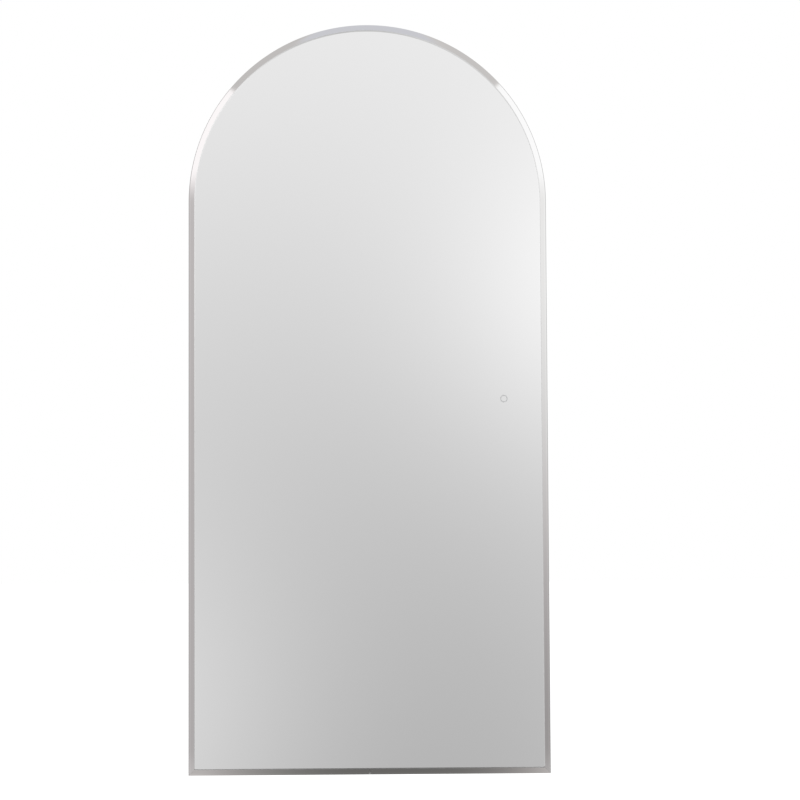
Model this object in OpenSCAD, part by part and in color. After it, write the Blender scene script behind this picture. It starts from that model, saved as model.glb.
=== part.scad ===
// Arch-topped wall mirror lamp: a framed mirror with a touch switch, lit from behind round its rim.
// X points right, Z up and Y into the wall. The wall plane is Y = 0, and the origin is the
// middle of the wall rail's row of screw holes.

/* [Overall] */
// Width over the frame
width = 598; // [540:1:680]
// Height over the frame, from the bottom bar to the top of the arch
height = 1250; // [1150:1:1400]
// Depth from the wall to the frame's front edge
depth = 40; // [39:0.5:48]
// Distance from the top of the arch down to the wall screws
rail_drop = 250; // [200:5:330]
// Gap between the frame's back edge and the wall, where the light comes out
frame_gap = 12; // [8:0.5:14]
// Gap between the back cover and the wall, which holds the rails
cover_gap = 10; // [9.5:0.25:10.5]

/* [Frame] */
// Width of the frame's face as seen from the front
face_w = 10; // [9:0.5:13]
// Slope of the face towards its outer edge, in degrees
face_tilt = 20; // [14:1:22]
// Thickness of the frame's outer wall
frame_wall = 1.6; // [1.4:0.1:2]
// Height of the front lip above the glazing tape
lip_h = 4.2; // [4.2:0.1:5]
// Radius of the rounded outer edge
edge_r = 2; // [1.6:0.1:2.4]
// Chamfer on the inner edge of the lip
inner_edge = 0.6; // [0.3:0.1:0.9]
// How far the slot's ribs stand in from the outer face
rib_reach = 4.8; // [4.6:0.1:5.2]
// Thickness of the slot's ribs
rib_t = 1.2; // [1:0.1:1.4]
// Width of the key slot inside the frame
slot_w = 8; // [7:0.5:8.5]
// Hook on each rib that holds the keys in the slot
hook = 1; // [0.8:0.1:1.2]
// Gap at the butt seam in the middle of the bottom bar
seam_gap = 0.3; // [0.2:0.05:0.6]
// Width of the hairline at each mitred corner
mitre_gap = 0.2; // [0.1:0.05:0.4]
// Length of each arm of a corner key
key_arm = 45; // [30:1:60]
// Length of the straight key across the seam
seam_key_len = 90; // [60:1:120]
// Radius of the grub screws that lock the keys
grub_r = 1.5; // [1.25:0.05:1.75]

/* [Mirror] */
// Thickness of the silvered glass
glass_t = 4; // [3:0.5:5]
// Play between the edge of the glass and the frame's ribs
glass_play = 0.4; // [0.2:0.1:1]
// Thickness of the glazing tape between lip and glass
glazing_tape_t = 0.8; // [0.5:0.1:1]
// Width of the glazing tape
glazing_tape_w = 3.4; // [2.5:0.1:3.6]
// Thickness of the safety film on the back of the glass
film_t = 0.3; // [0.2:0.05:0.5]
// Outer diameter of the touch ring
ring_d = 12.4; // [10:0.1:16]
// Width of the touch ring's line
ring_line = 1.6; // [1:0.1:2.5]
// Depth of the touch ring in the glass
ring_depth = 0.3; // [0.2:0.05:0.5]
// Distance of the touch ring from the frame's outer face
touch_inset = 73; // [73:1:100]
// Height of the touch ring above the bottom of the frame
touch_height = 620; // [500:1:700]

/* [Back plate] */
// Thickness of the mounting tape between film and back plate
mounting_tape_t = 0.8; // [0.5:0.1:1]
// Width of the mounting tape
mounting_tape_w = 12; // [8:1:16]
// Thickness of the back plate
plate_t = 1; // [0.8:0.1:1.2]
// Gap between the edge of the back plate and the frame's ribs
plate_play = 1.7; // [1:0.1:2.2]
// Thickness of the retaining plates that hold the stack in the frame
retainer_t = 1.5; // [1.2:0.1:1.8]
// Width of a retaining plate
retainer_w = 22; // [18:1:30]
// Play between a retaining plate and the rib over it
retainer_play = 0.4; // [0.2:0.1:0.6]
// Radius of the retaining screws
retainer_screw_r = 1.45; // [1.3:0.05:1.6]

/* [Housing] */
// Distance from the frame's outer face to the housing wall
housing_inset = 45; // [45:0.5:47]
// Sheet thickness of the housing wall
housing_t = 1.2; // [1:0.1:1.5]
// Width of the housing wall's front and rear flanges
flange_w = 12; // [11:0.5:13]
// Thickness of the back cover
cover_t = 1.2; // [1:0.1:1.5]
// Height of the stiffening ribs pressed into the back cover
cover_rib_h = 1.2; // [0.8:0.1:1.6]
// Width of the stiffening ribs
cover_rib_w = 16; // [10:1:24]
// Length of the stiffening ribs
cover_rib_len = 560; // [300:10:600]
// Distance from one stiffening rib to the next
rib_spacing = 130; // [90:5:150]
// How far the back cover overhangs the housing wall
cover_overhang = 1; // [0:0.5:2]
// Radius of the self-tapping screws in the back cover
cover_screw_r = 1.4; // [1.25:0.05:1.6]
// Radius of the threaded posts between back plate and cover
post_r = 5; // [4.5:0.25:6]
// Radius of the screws in the posts
post_screw_r = 1.95; // [1.7:0.05:2.2]
// Radius of the rivets
rivet_r = 1.5; // [1.2:0.1:1.6]

/* [Light] */
// Distance from the frame's outer face to the light channel
channel_inset = 20; // [20:0.5:21.5]
// Width of the light channel
channel_w = 16; // [15.5:0.5:17]
// Height of the light channel's walls above the back plate
channel_h = 9; // [8:0.5:11]
// Wall thickness of the light channel
channel_wall = 1.2; // [1:0.1:1.4]
// Thickness of the opal diffuser
diffuser_t = 1.6; // [1.2:0.1:2]
// Width of the light strip's board
strip_w = 10; // [8:0.5:11]
// Thickness of the light strip's board
strip_t = 0.6; // [0.4:0.1:0.8]
// Distance from one light source to the next
chip_pitch = 33; // [28:1:50]
// Length of one light source
chip_l = 3.5; // [2.8:0.1:5]
// Width of one light source
chip_w = 2.8; // [2:0.1:3.5]
// Height of one light source
chip_h = 0.8; // [0.6:0.1:1.2]

/* [Wall hanging] */
// Thickness of both rails
rail_t = 2; // [1.8:0.1:2.1]
// Length of the wall rail
wall_rail_len = 420; // [400:5:450]
// Length of the rail on the lamp
hanger_rail_len = 380; // [360:5:400]
// Depth of the hook's grip over the wall rail
hook_depth = 12; // [9:0.5:13]
// Resting gap between the two rails
rail_rest = 0.3; // [0.2:0.05:0.4]
// Distance between the outer wall screws
screw_spacing = 360; // [320:5:380]
// Distance between the inner wall screws
inner_screw_spacing = 120; // [80:5:160]
// Diameter of the wall screw holes
wall_hole_d = 5.5; // [4.5:0.5:6]
// Distance between the outer posts of the hanger rail
post_spacing = 300; // [260:5:330]
// Radius of the rubber wall bumpers
bumper_r = 12; // [10:0.5:14]
// Distance between the wall bumpers
bumper_spacing = 380; // [340:5:400]
// Height of the wall bumpers above the bottom of the frame
bumper_height = 90; // [80:5:140]

/* [Electrics] */
// Length of the driver's case
driver_len = 170; // [160:1:185]
// Height of the driver's case, along the wall
driver_h = 44; // [40:1:48]
// Thickness of the driver's case with its lid
driver_t = 14; // [13:0.5:14.5]
// Wall thickness of the driver's case
driver_wall = 1.4; // [1.2:0.1:1.6]
// Length of each screw ear on the driver
ear_len = 9; // [8:0.5:10]
// Length of the terminal block
block_len = 32; // [30:1:36]
// Height of the terminal block, along the wall
block_h = 20; // [18:1:22]
// Thickness of the terminal block
block_t = 13; // [12:0.5:14]
// Number of poles in the terminal block
poles = 3; // [2:1:3]
// Radius of the bore for the supply cable in the grommet
inlet_r = 4.5; // [3.5:0.1:5]
// Distance of the cable inlet from the frame's outer face
inlet_inset = 84; // [78:1:90]
// Width of the touch sensor's case
sensor_w = 34; // [30:1:36]
// Height of the touch sensor's case, along the wall
sensor_h = 26; // [24:1:30]
// Thickness of the touch sensor's case with its lid
sensor_t = 9; // [8:0.5:10]
// Thickness of the touch sensor's electrode pad
pad_t = 1.2; // [1:0.1:1.2]

/* [Hidden] */
$fn = 96;

// Small gap round pieces that push together by hand
snug = 0.05;
// Gap round a part that drops into place
loose = 0.2;
// How far a cutting shape runs past the face that it cuts
past = 1;
// Number of flats round the outer edge of the frame's section
edge_steps = 6;
// Number of sides on a small screw, more than the 12 that would make it a prism
screw_fn = 32;

half_w = width / 2;
base_z = rail_drop - height;
arch_z = base_z + height - half_w;
leg_h = arch_z - base_z;

// Faces of the stack, from the front to the wall
front_y = -depth;
lip_back_y = front_y + lip_h;
glass_front_y = lip_back_y + glazing_tape_t;
glass_back_y = glass_front_y + glass_t;
film_back_y = glass_back_y + film_t;
plate_front_y = film_back_y + mounting_tape_t;
plate_back_y = plate_front_y + plate_t;
rib_front_y = plate_back_y + retainer_t + retainer_play;
slot_front_y = rib_front_y + rib_t;
slot_back_y = slot_front_y + slot_w;
rib_back_y = slot_back_y + rib_t;
frame_back_y = -frame_gap;
cover_back_y = -cover_gap;
cover_front_y = cover_back_y - cover_t;
glass_inset = rib_reach + glass_play;
plate_inset = rib_reach + plate_play;

// Frame section: where the sloping face meets the round of the outer edge
edge_centre_y = front_y + edge_r * cos(face_tilt)
    + (face_w - inner_edge - edge_r + edge_r * sin(face_tilt)) * tan(face_tilt);

// Keys in the slot
key_t = rib_reach - hook - frame_wall - loose;
key_u = rib_reach - hook - key_t;
key_w = slot_w - 2 * loose;
key_y = (slot_front_y + slot_back_y) / 2;
grub_end = rib_reach - loose;
key_margin = 9;

// Stations where fasteners repeat round the rim
retainer_angles = [30, 90, 150];
retainer_zs = [base_z + 0.1 * leg_h, base_z + 0.5 * leg_h, base_z + 0.9 * leg_h];
retainer_xs = [-0.5 * half_w, 0.5 * half_w];
rivet_angles = [15, 55, 125, 165];
rivet_zs = [base_z + 0.2 * leg_h, base_z + 0.5 * leg_h, base_z + 0.8 * leg_h];
rivet_xs = [-0.4 * half_w, 0.4 * half_w];
cover_angles = [10, 50, 90, 130, 170];
cover_zs = [base_z + 0.15 * leg_h, base_z + 0.4 * leg_h, base_z + 0.65 * leg_h, base_z + 0.88 * leg_h];
cover_xs = [-0.6 * half_w, 0, 0.6 * half_w];
retainer_tip = frame_wall + 0.6;
retainer_end = channel_inset - 2;
retainer_screw_u = (rib_reach + retainer_end) / 2 + 1;
retainer_head_r = 2.9;
retainer_head_t = 1.8;

// Light channel
channel_floor_y = plate_back_y + channel_wall;
channel_back_y = plate_back_y + channel_h;
channel_mid = channel_inset + channel_w / 2;
strip_back_y = channel_floor_y + strip_t;
strip_edge = channel_mid - strip_w / 2;
arch_chips = floor(PI * (half_w - channel_mid) / chip_pitch);
leg_chips = floor(leg_h / chip_pitch) - 1;
bottom_chips = floor((half_w - channel_mid) / chip_pitch);
flush_head_r = rivet_r + channel_wall;

// Housing
flange_end = housing_inset + housing_t + flange_w;
flange_mid = housing_inset + housing_t + flange_w / 2;
cover_inset = housing_inset - cover_overhang;
cover_rib_z = bumper_height + 40 + cover_rib_len / 2;
cover_head_r = 2.8;
cover_head_t = 1.8;
cover_screw_tip = cover_back_y - 7;
post_shank_r = 2.5;
post_head_r = 3.9;
post_head_t = 2.4;
post_thread = 11;

// Rails: the wall rail's lip stands off the wall and carries the hanger's web
lip_gap = 2 * rail_t;
rail_step_z = wall_hole_d + 2.5;
lip_low_z = rail_step_z + rail_t;
lip_top_z = lip_low_z + hook_depth + 2;
rail_foot_z = -18;
web_z = lip_top_z + rail_rest;
hook_back_y = -rail_t / 2 - 0.2;
hanger_plate_h = 22;
post_z = web_z + rail_t + hanger_plate_h / 2;
bumper_z = base_z + bumper_height;
bumper_sink = cover_gap / 2;
hanger_post_xs = [-post_spacing / 2, -post_spacing / 6, post_spacing / 6, post_spacing / 2];

// Driver, below the wall rail
driver_x = 0;
driver_z = -150;
driver_back_y = plate_back_y + driver_t;
driver_floor_y = plate_back_y + driver_wall;
driver_lid_y = driver_back_y - driver_wall;
driver_right = driver_x + driver_len / 2;
driver_left = driver_x - driver_len / 2;
driver_low_z = driver_z - driver_h / 2;
driver_top_z = driver_z + driver_h / 2;
board_y = driver_floor_y + 3;
board_t = 1.6;
board_gap = 1;
stub_r = 1.4;
stub_inset_x = 20;
stub_inset_z = 6;

// What stands on the driver's board, from the mains end to the lamp end
part_gap = 13;
filter_w = 26;
filter_h = 12;
filter_low = 15;
capacitor_r = 5;
capacitor_up = 8;
transformer_w = 28;
transformer_h = 24;
transformer_x = driver_x - transformer_w / 2 - 2;
sink_w = 6;
sink_h = 28;
choke_w = 16;
choke_h = 8;

// Terminal block and earth stud, beside the inlet
inlet_x = inlet_inset - half_w;
inlet_z = -60;
block_x = inlet_x + 65;
block_z = inlet_z;
block_top_z = block_z + block_h / 2;
block_low_z = block_z - block_h / 2;
block_tab = 7;
tab_t = 2;
pole_well = 4;
pole_screw_t = 2;
screw_slot = 0.8;
pole_pitch = block_len / poles;
pole_r = 3;
grommet_neck_r = inlet_r + 2.5;
grommet_r = inlet_r + 6;
grommet_lip = 2.5;
stud_x = block_x + 55;
stud_z = block_z;
stud_r = 2;
stud_len = 11;
lug_t = 0.8;
nut_r = 3.8;
nut_t = 2;
washer_r = 4.2;
washer_t = 0.6;
lug_tail = 15;
lug_r = 4.4;
lug_w = 3.6;

// Touch sensor, glued to the back of the glass through a window in the plate
touch_x = half_w - touch_inset;
touch_z = base_z + touch_height;
pad_r = 10;
sensor_front_y = glass_back_y + pad_t;
sensor_back_y = sensor_front_y + sensor_t;
sensor_wall = 1.2;
sensor_board_y = sensor_front_y + sensor_wall + 1.5;
window_play = 1;

// Leads: points chosen along each route, with the ends straight
lead_r = 1.5;
supply_r = 3.2;
earth_r = 1.4;
lead_sides = 8;
supply_sides = 10;
lead_y = plate_back_y + 4.4;
hole_play = 0.2;
curve_steps = 2;
function between(from, to, share) = from + share * (to - from);

// The sensor's lead drops towards the sensor past one clip and runs level past another
sensor_lead_z = driver_z - 8;
sensor_top_z = touch_z + sensor_h / 2;
sensor_straight_z = sensor_top_z + 12;
sensor_bend_z = sensor_lead_z - 57;
sensor_clip_z = between(sensor_straight_z, sensor_bend_z, 0.46);
sensor_clip_x = driver_right + 37;
sensor_route = [
    [touch_x, lead_y, sensor_top_z - 3], [touch_x, lead_y, sensor_straight_z],
    [touch_x, lead_y, between(sensor_straight_z, sensor_bend_z, 0.22)],
    [touch_x - 2, lead_y, sensor_clip_z],
    [touch_x - 4, lead_y, between(sensor_straight_z, sensor_bend_z, 0.75)],
    [touch_x - 8, lead_y, sensor_bend_z], [touch_x - 19, lead_y, sensor_lead_z - 27],
    [touch_x - 36, lead_y, sensor_lead_z - 9], [touch_x - 61, lead_y, sensor_lead_z],
    [driver_right + 48, lead_y, sensor_lead_z], [driver_right + 25, lead_y, sensor_lead_z],
    [driver_right - 4, lead_y, sensor_lead_z]
];

// The light strip's lead runs level from the driver through the housing wall into the channel
led_lead_z = driver_z + 8;
led_lead_end = half_w - channel_mid;
led_run_from = driver_right + 20;
led_run_to = half_w - housing_inset - 10;
led_clip_xs = [between(led_run_from, led_run_to, 0.32), between(led_run_from, led_run_to, 0.75)];
channel_inner_x = half_w - channel_inset - channel_w;
strip_lead_y = strip_back_y + lead_r + snug;
led_route = [
    [driver_right - 4, lead_y, led_lead_z], [led_run_from, lead_y, led_lead_z],
    [between(led_run_from, led_run_to, 0.5), lead_y, led_lead_z], [led_run_to, lead_y, led_lead_z],
    [half_w - housing_inset + 2, lead_y, led_lead_z],
    [channel_inner_x - 2, lead_y, led_lead_z], [channel_inner_x + 2.5, lead_y, led_lead_z],
    [led_lead_end - 2, strip_lead_y, led_lead_z], [led_lead_end + 1, strip_lead_y, led_lead_z]
];

// The supply lead bends from the terminal block to the end of the driver
supply_y = plate_back_y + block_t / 2;
mains_route = [
    [block_x, supply_y, block_low_z], [block_x, supply_y, block_low_z - 15],
    [block_x, supply_y, -105], [between(block_x, driver_left, 0.08), supply_y, -125],
    [between(block_x, driver_left, 0.26), supply_y, -141],
    [between(block_x, driver_left, 0.54), supply_y, driver_z],
    [driver_left - 10, supply_y, driver_z], [driver_left + 3, supply_y, driver_z]
];

// The earth lead runs from the terminal block onto the lug's tail
lug_y = plate_back_y + nut_t + lug_t / 2;
block_right = block_x + block_len / 2;
earth_end_y = lug_y + lug_t / 2 + earth_r + snug;
earth_route = [
    [block_right, supply_y, block_z], [block_right + 5, supply_y, block_z],
    [block_right + 10, supply_y, block_z], [block_right + 17, supply_y - 1, block_z],
    [stud_x - lug_tail, earth_end_y + 0.5, block_z], [stud_x - lug_tail + 3, earth_end_y, block_z],
    [stud_x - lug_tail + 7, earth_end_y, block_z]
];

// A slab of the outline below it, from one depth to another
module slab(front, back) {
    translate([0, back, 0])
        rotate([90, 0, 0])
            linear_extrude(back - front) children();
}

// The outline of the whole lamp, drawn in by an inset
module outline(inset) {
    r = half_w - inset;
    union() {
        translate([0, arch_z]) difference() {
            circle(r);
            translate([-r - past, -r - past]) square([2 * (r + past), r + past]);
        }
        translate([-r, base_z + inset]) square([2 * r, leg_h - inset]);
    }
}

// A band of the outline between two insets
module band(outer, inner) {
    difference() {
        outline(outer);
        outline(inner);
    }
}

// Stations round the rim: a place on the outer face and the direction that it looks in
function stations(angles, zs, xs) = concat(
    [for (a = angles) [half_w * cos(a), arch_z + half_w * sin(a), a]],
    [for (z = zs) [half_w, z, 0]],
    [for (z = zs) [-half_w, z, 180]],
    [for (x = xs) [x, base_z, -90]]
);

// Repeats a piece at each station, with local X pointing outwards from the frame's outer face
module on_rim(places) {
    for (s = places)
        translate([s[0], 0, s[1]]) rotate([0, -s[2], 0]) children();
}

// A rod along Y, from one depth to another
module rod(r, front, back, fn = screw_fn) {
    translate([0, back, 0]) rotate([90, 0, 0]) cylinder(r = r, h = back - front, $fn = fn);
}

// A rod along X
module rod_x(r, from, to, fn = screw_fn) {
    translate([from, 0, 0]) rotate([0, 90, 0]) cylinder(r = r, h = to - from, $fn = fn);
}

// A block between two corners
module block(low, high) {
    translate(low) cube(high - low);
}

// A pan-head screw along Y, seen from the wall: its head lies on seat_y and its end is at tip_y
module pan_screw(r, head_r, head_t, seat_y, tip_y) {
    difference() {
        union() {
            rod(head_r, seat_y, seat_y + head_t);
            rod(r, tip_y, seat_y);
        }
        for (turn = [0, 90])
            rotate([0, turn, 0])
                block([-0.6 * head_r, seat_y + head_t / 2, -screw_slot / 2],
                      [0.6 * head_r, seat_y + head_t + past, screw_slot / 2]);
    }
}

// Round tube along a path: one ring of points at each path point
function unit(v) = v / norm(v);
function heading(path, i) = unit(path[min(i + 1, len(path) - 1)] - path[max(i - 1, 0)]);
function across(t) = unit(cross(t, [0, 1, 0]));
function ring(p, t, r, sides) = [
    for (k = [0:sides - 1])
        p + r * (cos(360 * k / sides) * across(t) + sin(360 * k / sides) * cross(across(t), t))
];
function smooth(a, b, c, d, t) = 0.5 * (2 * b + (c - a) * t + (2 * a - 5 * b + 4 * c - d) * t * t
    + (3 * b - a - 3 * c + d) * t * t * t);
function curve(points, steps) = let (n = len(points) - 1) concat(
    [for (i = [0:n - 1], j = [0:steps - 1])
        smooth(points[max(i - 1, 0)], points[i], points[i + 1], points[min(i + 2, n)], j / steps)],
    [points[n]]
);
module tube(route, r, sides) {
    path = curve(route, curve_steps);
    n = len(path);
    points = [for (i = [0:n - 1]) each ring(path[i], heading(path, i), r, sides)];
    sides_of_tube = [
        for (i = [0:n - 2], k = [0:sides - 1])
            [i * sides + k, i * sides + (k + 1) % sides,
             (i + 1) * sides + (k + 1) % sides, (i + 1) * sides + k]
    ];
    start_cap = [[for (k = [0:sides - 1]) sides - 1 - k]];
    end_cap = [[for (k = [0:sides - 1]) (n - 1) * sides + k]];
    polyhedron(points, concat(sides_of_tube, start_cap, end_cap));
}

// Frame section, as inset and depth: lip, face, round edge, wall, slot ribs with their hooks
frame_corners = concat(
    [[face_w, lip_back_y], [face_w, front_y + inner_edge], [face_w - inner_edge, front_y]],
    [for (i = [0:edge_steps])
        let (a = face_tilt + (90 - face_tilt) * i / edge_steps)
            [edge_r * (1 - sin(a)), edge_centre_y - edge_r * cos(a)]],
    [
        [0, frame_back_y], [frame_wall, frame_back_y], [frame_wall, rib_back_y],
        [rib_reach, rib_back_y], [rib_reach, slot_back_y - hook], [rib_reach - hook, slot_back_y - hook],
        [rib_reach - hook, slot_back_y], [frame_wall, slot_back_y], [frame_wall, slot_front_y],
        [rib_reach - hook, slot_front_y], [rib_reach - hook, slot_front_y + hook],
        [rib_reach, slot_front_y + hook], [rib_reach, rib_front_y], [frame_wall, rib_front_y],
        [frame_wall, lip_back_y]
    ]
);

module frame_section() {
    polygon([for (p = frame_corners) [half_w - p[0], -p[1]]]);
}

module frame_leg() {
    reach = 4 * face_w;
    difference() {
        translate([0, 0, arch_z]) rotate([180, 0, 0]) linear_extrude(leg_h) frame_section();
        slab(front_y - past, past)
            polygon([
                [half_w + past, base_z - past],
                [half_w - reach, base_z + reach],
                [half_w - reach, base_z - past]
            ]);
    }
}

module frame_bottom() {
    reach = 4 * face_w;
    difference() {
        translate([half_w, 0, base_z + half_w])
            rotate([0, 90, 0]) rotate([180, 0, 0]) linear_extrude(width) frame_section();
        for (side = [0, 1])
            mirror([side, 0, 0])
                slab(front_y - past, past)
                    polygon([
                        [half_w + past, base_z - past],
                        [half_w + past, base_z + reach],
                        [half_w - reach, base_z + reach]
                    ]);
    }
}

module mitre_line() {
    reach = 3 * face_w;
    translate([half_w - frame_wall, 0, base_z + frame_wall])
        rotate([0, 45, 0])
            block([-reach, front_y - past, -mitre_gap / 2], [0, lip_back_y + past, mitre_gap / 2]);
}

module frame_profile() {
    color([0.78, 0.78, 0.79])
    difference() {
        union() {
            translate([0, 0, arch_z]) rotate([90, 0, 0]) rotate_extrude(angle = 180) frame_section();
            frame_leg();
            mirror([1, 0, 0]) frame_leg();
            frame_bottom();
        }
        mitre_line();
        mirror([1, 0, 0]) mitre_line();
        block([-seam_gap / 2, front_y - past, base_z - past], [seam_gap / 2, past, base_z + face_w + past]);
    }
}

// Places of the grub screws along the bottom bar and up the leg
corner_screw_us = [key_margin + rib_reach, key_arm];
seam_screw_xs = [-seam_key_len / 2 + key_margin, -key_margin, key_margin, seam_key_len / 2 - key_margin];

module corner_key() {
    front = key_y - key_w / 2;
    back = key_y + key_w / 2;
    difference() {
        union() {
            block([half_w - key_u - key_t, front, base_z + key_u],
                  [half_w - key_u, back, base_z + key_arm + key_margin]);
            block([half_w - key_arm - key_margin, front, base_z + key_u],
                  [half_w - key_u - key_t, back, base_z + key_u + key_t]);
        }
        for (u = corner_screw_us) {
            translate([half_w, key_y, base_z + u]) rod_x(grub_r + snug, -rib_reach, past);
            translate([half_w - u, key_y, base_z]) rotate([0, -90, 0])
                rod_x(grub_r + snug, -past, rib_reach);
        }
    }
}

module corner_keys() {
    color([0.55, 0.56, 0.58]) {
        corner_key();
        mirror([1, 0, 0]) corner_key();
    }
}

module seam_key() {
    color([0.55, 0.56, 0.58])
    difference() {
        block([-seam_key_len / 2, key_y - key_w / 2, base_z + key_u],
              [seam_key_len / 2, key_y + key_w / 2, base_z + key_u + key_t]);
        for (x = seam_screw_xs)
            translate([x, key_y, base_z]) rotate([0, -90, 0]) rod_x(grub_r + snug, -past, rib_reach);
    }
}

// A grub screw that points outwards along X and presses on the frame's wall
module grub_screw() {
    difference() {
        rod_x(grub_r, -grub_end, -frame_wall);
        translate([-grub_end, 0, 0]) rod_x(0.5 * grub_r, -past, past, 6);
    }
}

module key_grub_screws() {
    color([0.25, 0.25, 0.27]) {
        for (side = [0, 1], u = corner_screw_us)
            mirror([side, 0, 0]) {
                translate([half_w, key_y, base_z + u]) grub_screw();
                translate([half_w - u, key_y, base_z]) rotate([0, 90, 0]) grub_screw();
            }
        for (x = seam_screw_xs)
            translate([x, key_y, base_z]) rotate([0, 90, 0]) grub_screw();
    }
}

module glazing_tape() {
    color([0.15, 0.15, 0.16])
    slab(lip_back_y, glass_front_y) band(glass_inset + loose, glass_inset + loose + glazing_tape_w);
}

module at_touch() {
    translate([touch_x, 0, touch_z]) children();
}

module mirror_glass() {
    color([0.84, 0.85, 0.86])
    difference() {
        slab(glass_front_y, glass_back_y) outline(glass_inset);
        at_touch() difference() {
            rod(ring_d / 2, glass_front_y - past, glass_front_y + ring_depth, 96);
            rod(ring_d / 2 - ring_line, glass_front_y - 2 * past, glass_front_y + 2 * ring_depth, 96);
        }
    }
}

module touch_ring() {
    color([0.7, 0.7, 0.71])
    at_touch() difference() {
        rod(ring_d / 2 - snug, glass_front_y, glass_front_y + ring_depth, 96);
        rod(ring_d / 2 - ring_line + snug, glass_front_y - past, glass_front_y + ring_depth + past, 96);
    }
}

// Openings behind the touch sensor
module sensor_window(play) {
    translate([touch_x - sensor_w / 2 - play, touch_z - sensor_h / 2 - play])
        square([sensor_w + 2 * play, sensor_h + 2 * play]);
}

module safety_film() {
    color([0.62, 0.64, 0.66])
    slab(glass_back_y, film_back_y) difference() {
        outline(glass_inset + loose);
        sensor_window(window_play);
    }
}

module mounting_tape() {
    strip_inset = plate_inset + 2;
    color([0.93, 0.93, 0.92])
    slab(film_back_y, plate_front_y) {
        band(strip_inset, strip_inset + mounting_tape_w);
        for (row = [0.15, 0.35, 0.75, 0.95])
            translate([-0.7 * half_w, base_z + row * leg_h]) square([1.4 * half_w, 2 * mounting_tape_w]);
    }
}

module back_plate() {
    color([0.72, 0.74, 0.75])
    difference() {
        slab(plate_front_y, plate_back_y) difference() {
            outline(plate_inset);
            sensor_window(window_play);
        }
        on_rim(stations(retainer_angles, retainer_zs, retainer_xs))
            translate([-retainer_screw_u, 0, 0])
                rod(retainer_screw_r + snug, plate_front_y - past, plate_back_y + past);
        on_rim(stations(rivet_angles, rivet_zs, rivet_xs)) {
            translate([-channel_mid, 0, 0]) rod(rivet_r + snug, plate_front_y - past, plate_back_y + past);
            translate([-flange_mid, 0, 0]) rod(rivet_r + snug, plate_front_y - past, plate_back_y + past);
        }
        at_posts() rod(post_shank_r + snug, plate_front_y - past, plate_back_y + past);
        at_driver_ears() rod(cover_screw_r + snug, plate_front_y - past, plate_back_y + past);
        at_block_tabs() rod(cover_screw_r + snug, plate_front_y - past, plate_back_y + past);
    }
}

module retaining_plates() {
    color([0.66, 0.68, 0.7])
    on_rim(stations(retainer_angles, retainer_zs, retainer_xs))
        difference() {
            block([-retainer_end, plate_back_y, -retainer_w / 2],
                  [-retainer_tip, plate_back_y + retainer_t, retainer_w / 2]);
            for (along = [-1, 0, 1])
                translate([-retainer_screw_u + along, 0, 0])
                    rod(retainer_screw_r + loose, plate_back_y - past, plate_back_y + retainer_t + past);
        }
}

module retaining_screws() {
    seat = plate_back_y + retainer_t;
    color([0.8, 0.8, 0.78])
    on_rim(stations(retainer_angles, retainer_zs, retainer_xs))
        translate([-retainer_screw_u, 0, 0])
            pan_screw(retainer_screw_r, retainer_head_r, retainer_head_t, seat, plate_front_y);
}

// Threaded posts that carry the hanger rail and the wall bumpers
module at_posts() {
    at_hanger_posts() children();
    at_bumpers() children();
}

module at_hanger_posts() {
    for (x = hanger_post_xs)
        translate([x, 0, post_z]) children();
}

module at_bumpers() {
    for (side = [-1, 1])
        translate([side * bumper_spacing / 2, 0, bumper_z]) children();
}

module cover_posts() {
    color([0.75, 0.76, 0.78])
    at_posts() difference() {
        union() {
            rod(post_r, plate_back_y, cover_front_y);
            rod(post_shank_r, plate_front_y, plate_back_y);
        }
        rod(post_screw_r + snug, cover_front_y - post_thread, cover_front_y + past);
    }
}

module housing_wall() {
    color([0.75, 0.77, 0.78])
    difference() {
        union() {
            slab(plate_back_y, cover_front_y) band(housing_inset, housing_inset + housing_t);
            slab(plate_back_y, plate_back_y + housing_t) band(housing_inset, flange_end);
            slab(cover_front_y - housing_t, cover_front_y) band(housing_inset, flange_end);
        }
        on_rim(stations(rivet_angles, rivet_zs, rivet_xs))
            translate([-flange_mid, 0, 0])
                rod(rivet_r + snug, plate_back_y - past, plate_back_y + housing_t + past);
        on_rim(stations(cover_angles, cover_zs, cover_xs))
            translate([-flange_mid, 0, 0])
                rod(cover_screw_r + snug, cover_front_y - housing_t - past, cover_front_y + past);
        translate([half_w - housing_inset, lead_y, led_lead_z]) rod_x(bush_neck_r + snug, -5, 5);
        slab(plate_back_y - past, plate_back_y + housing_t + past) sensor_window(window_play);
    }
}

// A rivet along Y with a head on the wall side and a formed tail in front of the plate
module rivet(head_y, head_t) {
    rod(rivet_r, plate_front_y, head_y);
    rod(2 * rivet_r, head_y, head_y + head_t);
}

module housing_rivets() {
    color([0.8, 0.8, 0.8])
    on_rim(stations(rivet_angles, rivet_zs, rivet_xs))
        translate([-flange_mid, 0, 0]) rivet(plate_back_y + housing_t, 1);
}

// A countersink along Y, flush with back_y
module flush_head(r, head_r, front, back) {
    translate([0, back, 0])
        rotate([90, 0, 0])
            cylinder(r1 = head_r, r2 = r, h = back - front, $fn = screw_fn);
}

module led_channel() {
    color([0.82, 0.83, 0.84])
    difference() {
        union() {
            slab(plate_back_y, channel_floor_y) band(channel_inset, channel_inset + channel_w);
            slab(channel_floor_y, channel_back_y) band(channel_inset, channel_inset + channel_wall);
            slab(channel_floor_y, channel_back_y)
                band(channel_inset + channel_w - channel_wall, channel_inset + channel_w);
        }
        on_rim(stations(rivet_angles, rivet_zs, rivet_xs))
            translate([-channel_mid, 0, 0])
                flush_head(rivet_r + snug, flush_head_r + snug, plate_back_y, channel_floor_y);
        translate([channel_inner_x, lead_y, led_lead_z])
            rod_x(lead_r + hole_play, -past, channel_wall + past);
    }
}

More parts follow.
